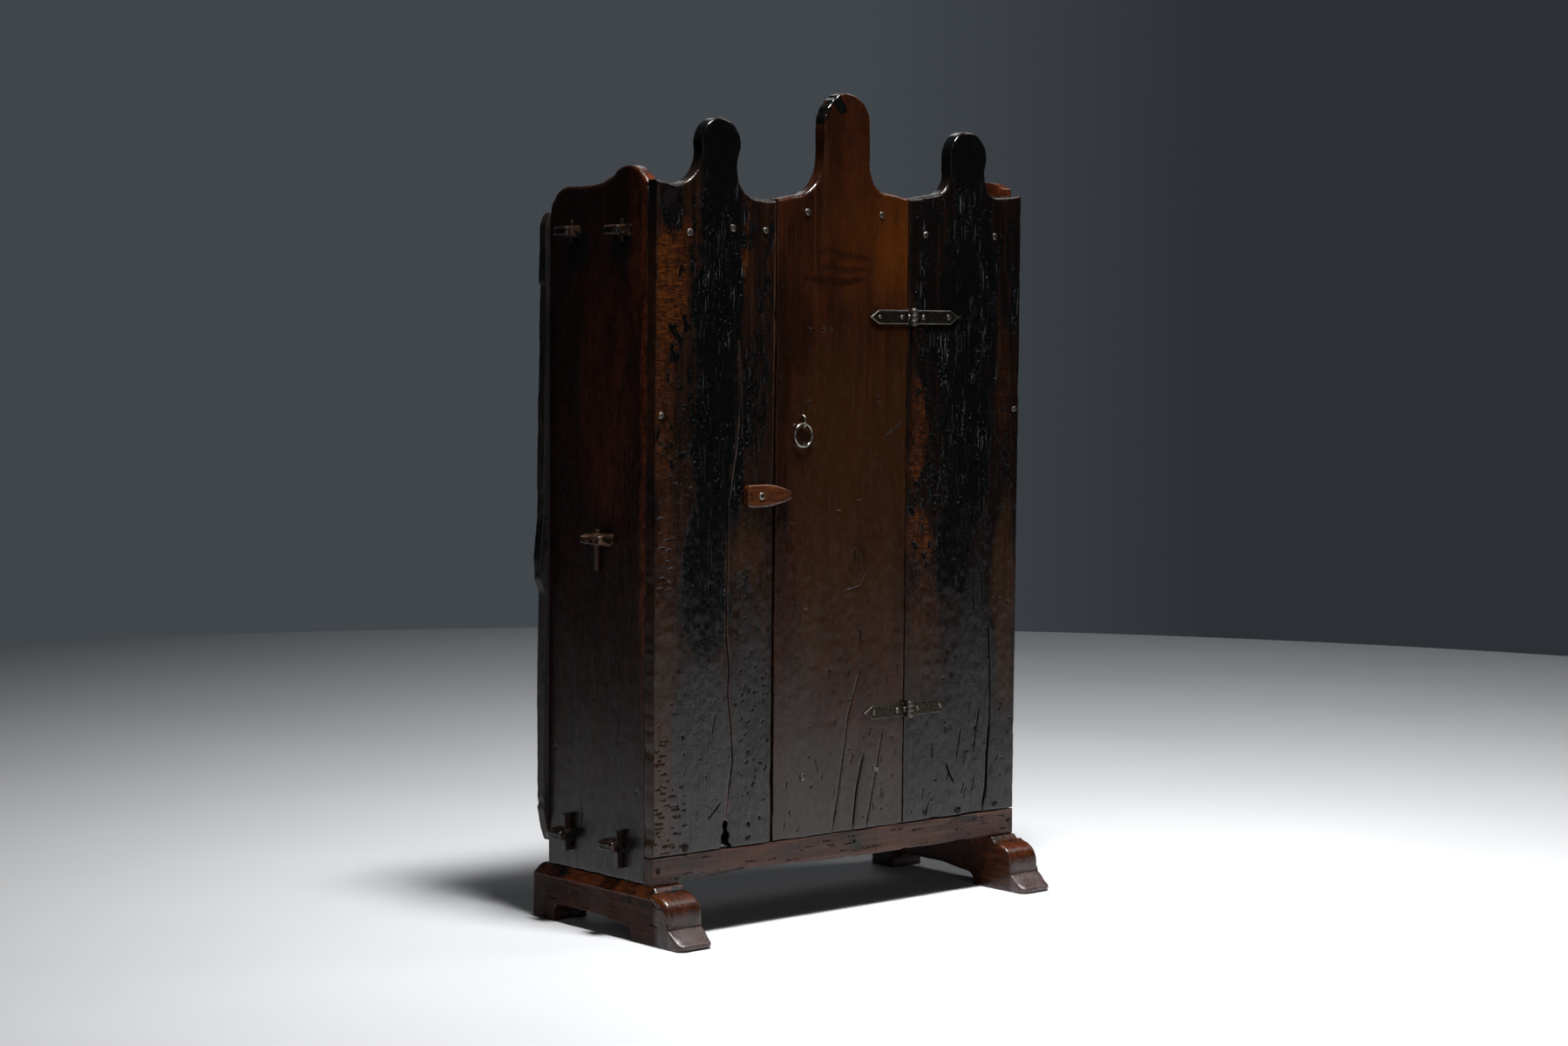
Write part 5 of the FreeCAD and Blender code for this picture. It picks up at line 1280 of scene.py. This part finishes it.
def boat_corners(ring):
    """Rounds the two square corners of the button's broad end."""
    made = even_steps(ring, 1.2)
    for level, way in ((ring[:, 1].min(), 1), (ring[:, 1].max(), -1)):
        centre = np.array([ring[:, 0].min() + CORNER_RADIUS, level + CORNER_RADIUS * way])
        corner = (made[:, 0] < centre[0]) & ((made[:, 1] - centre[1]) * way < 0)
        away = made[corner] - centre
        reach = np.maximum(np.linalg.norm(away, axis=1), CORNER_RADIUS)
        made[corner] = centre + away * (CORNER_RADIUS / reach)[:, None]
    return made


def button_marks(place, flat):
    """Tiny dark dents over an amber face; its pale rim, partly a painted highlight, comes from the board
    maker.
    """
    dent = np.clip(soft_noise(place, (3.2, 3.2, 2.0), 261) * 6 - 3.2, 0, 1)
    return {"amber": np.clip(0.5 + soft_noise(place, (14, 14, 5), 262), 0, 1), "dusk": dent}


button = worn_board("turn_button_boat", "turn_button", 1, -1, button_wood, 1.2, button_marks,
                    boat_corners, relief=hewn_face(263, 0.25, 0.1, 0.1), round_rim=3.2, wear=0.1,
                    back_step=5, seed=264, columns=4, joint_rim=1.0, edge_mark=0.6)
stand_in(button, "turn_button", "button")

# %% [markdown]
# ## The sledge feet
# Each foot is one thick block under a side: an arch below, a rolled nose and a thin, ramped toe in
# front, and a broad chamfer outside. Its side view is drawn once and carried across the width by
# the board maker, with many columns, so that the nose can take dents. The chamfer and the round
# tip are then pressed into it.

# %% The foot's side view (along the case, height) in millimetres
FOOT_SIDE = [(200, 0), (200, 75), (199, 88), (187, 94), (-111, 94), (-115, 93.5), (-118, 91),
             (-120.5, 87.5), (-123.5, 86.5), (-126, 84.5), (-132, 84), (-139, 82.6), (-146, 80),
             (-152.5, 76.5), (-158, 71.5), (-162, 65.5), (-165, 58), (-166.4, 50), (-166.6, 42),
             (-166, 36), (-164.6, 32.4), (-167, 30.8), (-172, 28), (-179, 23.2), (-186, 18.4),
             (-192, 14.8), (-197, 12.2), (-199.6, 9.5), (-200, 6.5), (-198.6, 3), (-194, 0.6),
             (-186, 0), (-70, 0), (-70, 7), (-69, 13), (-65.5, 18.3), (-60.5, 21.6), (-54, 23),
             (-20, 26.5), (10, 31), (126, 31), (133, 29.3), (138.5, 25.3), (141.3, 20), (142, 15),
             (142, 0)]
FOOT_OUTER, FOOT_INNER = 433, 361
CHAMFER_WIDE, CHAMFER_FOOT, CHAMFER_HIGH = 13, 75, 19
TIP_RADIUS = 15


def press_foot(points):
    """Presses the outer chamfer, the nose's corner and the round tip into a foot."""
    outer = FOOT_OUTER - np.abs(points[:, 0])
    inner = np.abs(points[:, 0]) - FOOT_INNER
    made = points.copy()
    roof = CHAMFER_FOOT + 1 + np.clip(outer, 0, CHAMFER_WIDE) * (CHAMFER_HIGH - 1) / CHAMFER_WIDE
    high = np.clip(points[:, 2] - CHAMFER_FOOT, 0, CHAMFER_HIGH)
    pressed = CHAMFER_FOOT + high * (roof - CHAMFER_FOOT) / CHAMFER_HIGH
    behind = points[:, 1] > -121
    made[behind, 2] = np.where(high > 0, pressed, points[:, 2])[behind]
    front = np.clip((-118 - points[:, 1]) / 20, 0, 1) * np.clip((points[:, 2] - 34) / 8, 0, 1)
    corner = (np.clip(9 - outer, 0, 9) ** 1.5 / 3.4 + np.clip(5 - inner, 0, 5) ** 1.5 / 4) * front
    made[:, 1] += corner * 0.75
    made[:, 2] -= corner * 0.5 * np.clip((points[:, 2] - 45) / 20, 0, 1)
    near = np.minimum(outer, inner)
    bent = np.clip(TIP_RADIUS - near, 0, TIP_RADIUS)
    pull = TIP_RADIUS - np.sqrt(np.clip(TIP_RADIUS ** 2 - bent ** 2, 0, None))
    made[:, 1] += pull * np.clip((-176 - points[:, 1]) / 22, 0, 1)
    sag = 1.6 * np.clip(1 - near / 30, 0, 1) * np.clip((-165 - points[:, 1]) / 10, 0, 1)
    made[:, 2] = np.where(points[:, 2] > 8, made[:, 2] - sag, made[:, 2])
    return made


# %% Stains of the feet
FOOT_STAINS = [
    ("amber", 222, 8, [(60, 90, 90, 22, 0.8), (-40, 90, 60, 22, 1.0), (140, 90, 30, 20, 0.5),
                       (-140, 70, 30, 30, 0.7), (20, 50, 150, 30, 0.7)]),
    ("char", 223, 7, [(110, 88, 22, 10, 0.6), (20, 88, 18, 8, 0.5), (-60, 91, 26, 5, 0.5),
                      (190, 50, 12, 40, 0.5), (60, 45, 22, 16, 0.5), (-60, 55, 26, 20, 0.45),
                      (-119, 90, 4, 4, 1.0)])]


def foot_marks(place, flat):
    """Amber on the chamfer and the nose, dark patches, a greyer toe, a dry outer skin."""
    masks = lay_stains(place, flat, FOOT_STAINS)
    roof = np.clip((place[:, 2] - 74) / 4, 0, 1)
    nose = np.clip((-flat[:, 0] - 128) / 14, 0, 1)
    toe = np.clip((-flat[:, 0] - 163) / 6, 0, 1)
    skin = np.clip(1 - (FOOT_OUTER - np.abs(place[:, 0])) / 3, 0, 1) * (1 - roof)
    masks["amber"] = np.clip(masks["amber"] * (0.4 + 0.6 * roof + 0.5 * nose), 0, 1) * (1 - 0.5 * skin)
    masks["grey"] = toe * 0.8
    masks["dry"] = skin * (1 - nose)
    return masks

# %% The two feet
foot_cracks = short_cuts((-150, 10), (190, 70), 6, 20, 0.6, 0.4, 0.02, 225)
foot_pits = scattered_pits((-150, 10), (190, 70), 6, 1.2, 0.7, 226)
for word, side in (("left", -1), ("right", 1)):
    foot = worn_board(word + "_sledge_foot", word + "_foot", 0, side, foot_wood, 2.6, foot_marks, None,
                      foot_cracks, foot_pits, hewn_face(224, 0.5, 0.15, 0.2), round_rim=2.6, wear=0.3,
                      back_step=5, seed=227 + side, ring=np.array(FOOT_SIDE, float),
                      level=float(FOOT_OUTER * side), thick=float(FOOT_OUTER - FOOT_INNER), columns=26,
                      reshape=press_foot, edge_dents=0.22, edge_mark=0.8)
    stand_in(foot, word + "_foot", "case")

# %% [markdown]
# ## Strap hinges
# Each hinge is two pointed iron straps, nailed on, whose fingers wrap a pin in three knuckles. A
# strap is a thin plate with softly filed edges, so the board maker cuts it too, in small steps, and
# the knuckles are turned shapes joined to it.

# %% Turned shapes
def turned(profile, centre, axis, around=28):
    """Points and faces of a closed turned shape: profile is (radius, place along the axis)."""
    plane = [k for k in range(3) if k != axis]
    points = np.zeros((len(profile) * around, 3))
    for count, (radius, along) in enumerate(profile):
        ring = points[count * around:(count + 1) * around]
        ring[:, plane] = circle(centre[plane[0]], centre[plane[1]], radius, around)
        ring[:, axis] = along
    rings = [[count * around + k for k in range(around)] for count in range(len(profile))]
    faces = [rings[0][::-1], rings[-1]]
    for a, b in zip(rings[:-1], rings[1:]):
        faces += band(b, a)
    return points, faces


def join_shapes(target, shapes, marks):
    """Adds closed shapes (points, faces) in millimetres to a piece's mesh."""
    shape = bmesh.new()
    shape.from_mesh(target.data)
    layers = {key: shape.verts.layers.float.get(key) for key in marks}
    for points, faces in shapes:
        fresh = [shape.verts.new(Vector(p) / 1000) for p in points]
        for vert in fresh:
            for key, value in marks.items():
                vert[layers[key]] = value
        for face in faces:
            shape.faces.new([fresh[k] for k in face]).smooth = len(face) == 4
    bmesh.ops.recalc_face_normals(shape, faces=shape.faces)
    shape.to_mesh(target.data)
    shape.free()
    return target

# %% Knuckles and the blocks that join them to a strap
PIN_X, PIN_Y = 149.5, -118.4
BARREL = 7.0
STRAP_FRONT, STRAP_THICK = -114.0, 3.0
HALF_WIDE = 12
BLOCK_SIDES = [[3, 2, 1, 0], [4, 5, 6, 7], [0, 1, 5, 4], [1, 2, 6, 5], [2, 3, 7, 6], [3, 0, 4, 7]]


def strap_marks(place, flat):
    """No stains: the pale rim, partly wear and partly a painted highlight, is all that the iron shows."""
    return {}


def knuckle(low, high):
    """A turned knuckle with filed ends."""
    return turned([(BARREL - 0.9, low), (BARREL - 0.1, low + 0.7), (BARREL, (low + high) / 2),
                   (BARREL - 0.1, high - 0.7), (BARREL - 0.9, high)], (PIN_X, PIN_Y, 0), 2)


def block(start, low, high):
    """A square block from the strap's root to the pin, between two heights."""
    near, far = sorted((start, PIN_X))
    front, back = STRAP_FRONT - 0.3, STRAP_FRONT + 2.6
    corners = ((near, front), (far, front), (far, back), (near, back))
    return [(x, y, z) for z in (low, high) for x, y in corners], BLOCK_SIDES

# %% Straps
# The straps' pale rims are partly a painted highlight: strong on the upper straps, faint on the lower.
for word, level, door_reach, case_reach, edge_mark in (("upper", 1030.0, 98.0, 114.0, 0.6),
                                                       ("lower", 343.0, 104.0, 102.0, 0.1)):
    for part, reach, way in (("door", door_reach, -1), ("case", case_reach, 1)):
        start, tip = PIN_X + 7.4 * way, PIN_X + reach * way
        low, high = level - HALF_WIDE, level + HALF_WIDE
        root = tip - 20 * way
        outline = np.array([(start, low), (root, low), (tip, level), (root, high), (start, high)])
        node = f"{word}_hinge_{part}_leaf"
        strap = worn_board(node + "_strap", node, 1, -1, hinge_iron, 1.5, strap_marks,
                           relief=hewn_face(241 + len(word + part), 0.12, 0.08, 0.08), round_rim=0.75,
                           wear=0.15, back_step=6, seed=243, ring=outline, level=STRAP_FRONT,
                           thick=STRAP_THICK, columns=1, edge_dents=0.05, edge_mark=edge_mark)
        rises = [(-4.5, 4.5)] if part == "door" else [(-14.0, -4.9), (4.9, 14.0)]
        shapes = [knuckle(level + a, level + b) for a, b in rises]
        shapes += [block(start + 1.5 * way, max(level + a, low), min(level + b, high)) for a, b in rises]
        join_shapes(strap, shapes, {"worn": 0.12, "pit": 0.0})
        stand_in(strap, node, part)

# %% [markdown]
# ## Hand-forged nails
# Every nail head on the real piece is a small domed lump, a little oval and each one different.
# They repeat, so a Geometry Nodes tree sets one low dome on every nail place, turns and scales it
# by chance from a fixed seed, and dents it. The places come from the CAD nails, always in the order
# of the CAD mesh's points, so that every run gives each nail the same chance.

# %% Where the CAD nails are
DOME_HEIGHT = 0.0022


def nail_places(node, front):
    """The middle of each nail head of a CAD node, in metres: front is -1 for heads that look forwards."""
    shape = merged(node)
    found = set()
    places = []
    for first in shape.verts:
        if first in found:
            continue
        found.add(first)
        island = [first]
        for vert in island:
            for edge in vert.link_edges:
                other = edge.other_vert(vert)
                if other not in found:
                    found.add(other)
                    island.append(other)
        spots = np.array([v.co for v in island])
        head = spots[:, 1].min() if front < 0 else spots[:, 1].max()
        middle = (spots.min(0) + spots.max(0)) / 2
        places.append((middle[0], head - front * DOME_HEIGHT, middle[2]))
    shape.free()
    return places

# %% The nail tree
def nail_tree():
    """Domed heads on every point: named inputs give their size, oval, dents and seed."""
    tree = bpy.data.node_groups.new("forged_nail_heads", "GeometryNodeTree")
    face = tree.interface
    sizes = (("Head Radius", 0.005), ("Dome Height", DOME_HEIGHT), ("Oval", 1.25), ("Dents", 0.0007))
    face.new_socket("Places", in_out="INPUT", socket_type="NodeSocketGeometry")
    for title, value in sizes:
        face.new_socket(title, in_out="INPUT", socket_type="NodeSocketFloat").default_value = value
    face.new_socket("Seed", in_out="INPUT", socket_type="NodeSocketInt").default_value = 1
    face.new_socket("Iron", in_out="INPUT", socket_type="NodeSocketMaterial")
    face.new_socket("Heads", in_out="OUTPUT", socket_type="NodeSocketGeometry")
    given = add(tree, "NodeGroupInput").outputs
    ball = add(tree, "GeometryNodeMeshUVSphere", {"Segments": 14, "Rings": 9, "Radius": 1.0})
    size = add(tree, "ShaderNodeCombineXYZ", {0: given["Head Radius"], 1: given["Head Radius"],
                                              2: given["Dome Height"]})
    flat = add(tree, "GeometryNodeTransform", {"Geometry": ball.outputs["Mesh"], "Scale": size.outputs[0]})
    turn = add(tree, "FunctionNodeRandomValue", {"Min": (1.5708, 0.0, 0.0), "Max": (1.5708, 3.1, 0.0),
                                                 "Seed": given["Seed"]}, data_type="FLOAT_VECTOR")
    stretch = add(tree, "ShaderNodeCombineXYZ", {0: given["Oval"], 1: 1.0, 2: 1.0})
    chance = add(tree, "FunctionNodeRandomValue", {2: 0.8, 3: 1.15, "Seed": given["Seed"]},
                 data_type="FLOAT")
    sized = add(tree, "ShaderNodeVectorMath", {0: stretch.outputs[0], "Scale": chance.outputs[1]},
                operation="SCALE")
    heads = add(tree, "GeometryNodeInstanceOnPoints", {
        "Points": given["Places"], "Instance": flat.outputs[0], "Rotation": turn.outputs[0],
        "Scale": sized.outputs[0]})
    real = add(tree, "GeometryNodeRealizeInstances", {"Geometry": heads.outputs[0]})
    lumps = add(tree, "ShaderNodeTexNoise", {"Scale": 420.0, "Detail": 1.0})
    drop = add(tree, "ShaderNodeMath", {0: lumps.outputs[0], 1: 0.5}, operation="SUBTRACT")
    deep = add(tree, "ShaderNodeMath", {0: drop.outputs[0], 1: given["Dents"]}, operation="MULTIPLY")
    push = add(tree, "ShaderNodeMath", {0: deep.outputs[0], 1: 4.0}, operation="MULTIPLY")
    normal = add(tree, "GeometryNodeInputNormal")
    offset = add(tree, "ShaderNodeVectorMath", {0: normal.outputs[0], "Scale": push.outputs[0]},
                 operation="SCALE")
    dented = add(tree, "GeometryNodeSetPosition", {"Geometry": real.outputs[0], "Offset": offset.outputs[0]})
    smooth = add(tree, "GeometryNodeSetShadeSmooth", {0: dented.outputs[0]})
    coated = add(tree, "GeometryNodeSetMaterial", {"Geometry": smooth.outputs[0], "Material": given["Iron"]})
    add(tree, "NodeGroupOutput", {0: coated.outputs[0]})
    return tree


nail_heads = nail_tree()
nail_inputs = [item for item in nail_heads.interface.items_tree if item.in_out == "INPUT"]
nail_sockets = {item.name: item.identifier for item in nail_inputs}
print("nail tree inputs:", list(nail_sockets))

# %% Set the heads
DARKENED_BELOW = 0.21


def nail_set(name, node, front, radius, seed):
    """One plain mesh of nail heads over a CAD nail node, the lowest heads darkened."""
    mesh = bpy.data.meshes.new(name)
    mesh.from_pydata(nail_places(node, front), [], [])
    made = new_object(name, mesh)
    changer = made.modifiers.new("heads", "NODES")
    changer.node_group = nail_heads
    changer[nail_sockets["Head Radius"]] = radius / 1000
    changer[nail_sockets["Seed"]] = seed
    changer[nail_sockets["Iron"]] = nail_iron
    plain = freeze(made)
    heights = read_rows(plain.vertices, "co")[:, 2]
    write_masks(plain, {"grime": np.clip((DARKENED_BELOW - heights) / 0.04, 0, 0.85)})
    print(name, "heads", len(mesh.vertices))
    return made


for node, body, front, radius, seed in (
        ("door_nails", "door", -1, 5.2, 3), ("hinge_nails_door", "door", -1, 3.9, 4),
        ("hinge_nails_case", "case", -1, 3.9, 5), ("front_board_nails", "case", -1, 5.6, 6),
        ("apron_nails", "case", -1, 4.6, 7), ("back_board_nails", "case", 1, 4.8, 8)):
    stand_in(nail_set(node + "_heads", node, front, radius, seed), node, body)

# %% [markdown]
# ## The pull ring, its staple and the button's screw
# The ring is hand-bent wire, not quite round, and thicker where it was joined. A tube carried along
# a slightly uneven circle gives that. The staple is the same tube along a bent path.

# %% Wire along a path
def wire(name, path, radius, closed, material, seed, around=12):
    """A tube of uneven wire along a path of points in millimetres."""
    path = np.asarray(path, float)
    ahead = np.roll(path, -1, axis=0) - np.roll(path, 1, axis=0)
    if not closed:
        ahead[0] = path[1] - path[0]
        ahead[-1] = path[-1] - path[-2]
    ahead /= np.linalg.norm(ahead, axis=1)[:, None]
    pole = np.array([0.0, 1.0, 0.0]) if abs(ahead[:, 1]).max() < 0.5 else np.array([1.0, 0.0, 0.0])
    points = []
    turns = [2 * math.pi * k / around for k in range(around)]
    for spot, run in zip(path, ahead):
        side_way = np.cross(run, pole)
        side_way /= np.linalg.norm(side_way)
        other = np.cross(side_way, run)
        thick = radius * (1 + 0.07 * soft_noise(spot[None], 9, seed)[0])
        points += [spot + thick * (math.cos(turn) * side_way + math.sin(turn) * other) for turn in turns]
    rings = [[count * around + k for k in range(around)] for count in range(len(path))]
    faces = [] if closed else [rings[0], rings[-1]]
    for a, b in zip(rings if closed else rings[:-1], rings[1:] + rings[:1]):
        faces += band(b, a)
    return make_object(name, points, faces, {"worn": np.full(len(points), 0.15)}, material)

# %% The pull ring and its staple
RING_X, RING_TOP = -102.5, 849.0
RING_RADIUS = 19.5
ring_path = [(RING_X + (RING_RADIUS + 0.25 * math.cos(2 * t + 1)) * math.sin(t), -115.4,
              RING_TOP - RING_RADIUS + RING_RADIUS * math.cos(t))
             for t in np.linspace(0, 2 * math.pi, 73)[:-1]]
pull_ring = wire("pull_ring_wire", ring_path, 2.1, True, ring_steel, 251)
STAPLE_BEND = [(-105, 842.6), (-111, 842.6), (-114.5, 843.0), (-117.8, 844.2), (-119.6, 846.4), (-120, 849),
               (-120, 852), (-119.6, 856.5), (-117.8, 860.4), (-114.5, 863.0), (-111, 863.8), (-105, 863.8)]
staple_path = [(RING_X, y, z) for y, z in STAPLE_BEND]
ring_staple = wire("ring_staple_wire", staple_path, 1.6, False, ring_steel, 252)
stand_in(pull_ring, "pull_ring", "ring")
stand_in(ring_staple, "ring_staple", "door")

# %% The button's washer and screw, turned shapes on one axis
SCREW_AXIS = (-201.0, 0, 730.0)
WASHER = [(2.0, -122.9), (5.6, -122.9), (6.0, -123.3), (6.0, -124.0), (5.6, -124.4), (2.0, -124.4)]
SCREW = [(1.5, -112.0), (1.5, -123.8), (4.3, -124.0), (4.5, -124.6), (4.2, -125.6), (3.2, -126.5),
         (1.7, -127.0), (0.4, -126.4)]
for name, node, profile, around, worn, material in (
        ("button_washer", "turn_button_washer", WASHER, 32, 0.9, nail_iron),
        ("button_screw", "turn_button_screw", SCREW, 24, 0.0, hinge_iron)):
    points, faces = turned(profile, SCREW_AXIS, 1, around)
    piece = make_object(name, points, faces, {"worn": np.full(len(points), worn)}, material)
    stand_in(piece, node, "case")

# %% Pins keep their CAD shape and take the iron
for node in ("upper_hinge_pin", "lower_hinge_pin"):
    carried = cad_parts[node].data
    carried.materials.clear()
    carried.materials.append(hinge_iron)
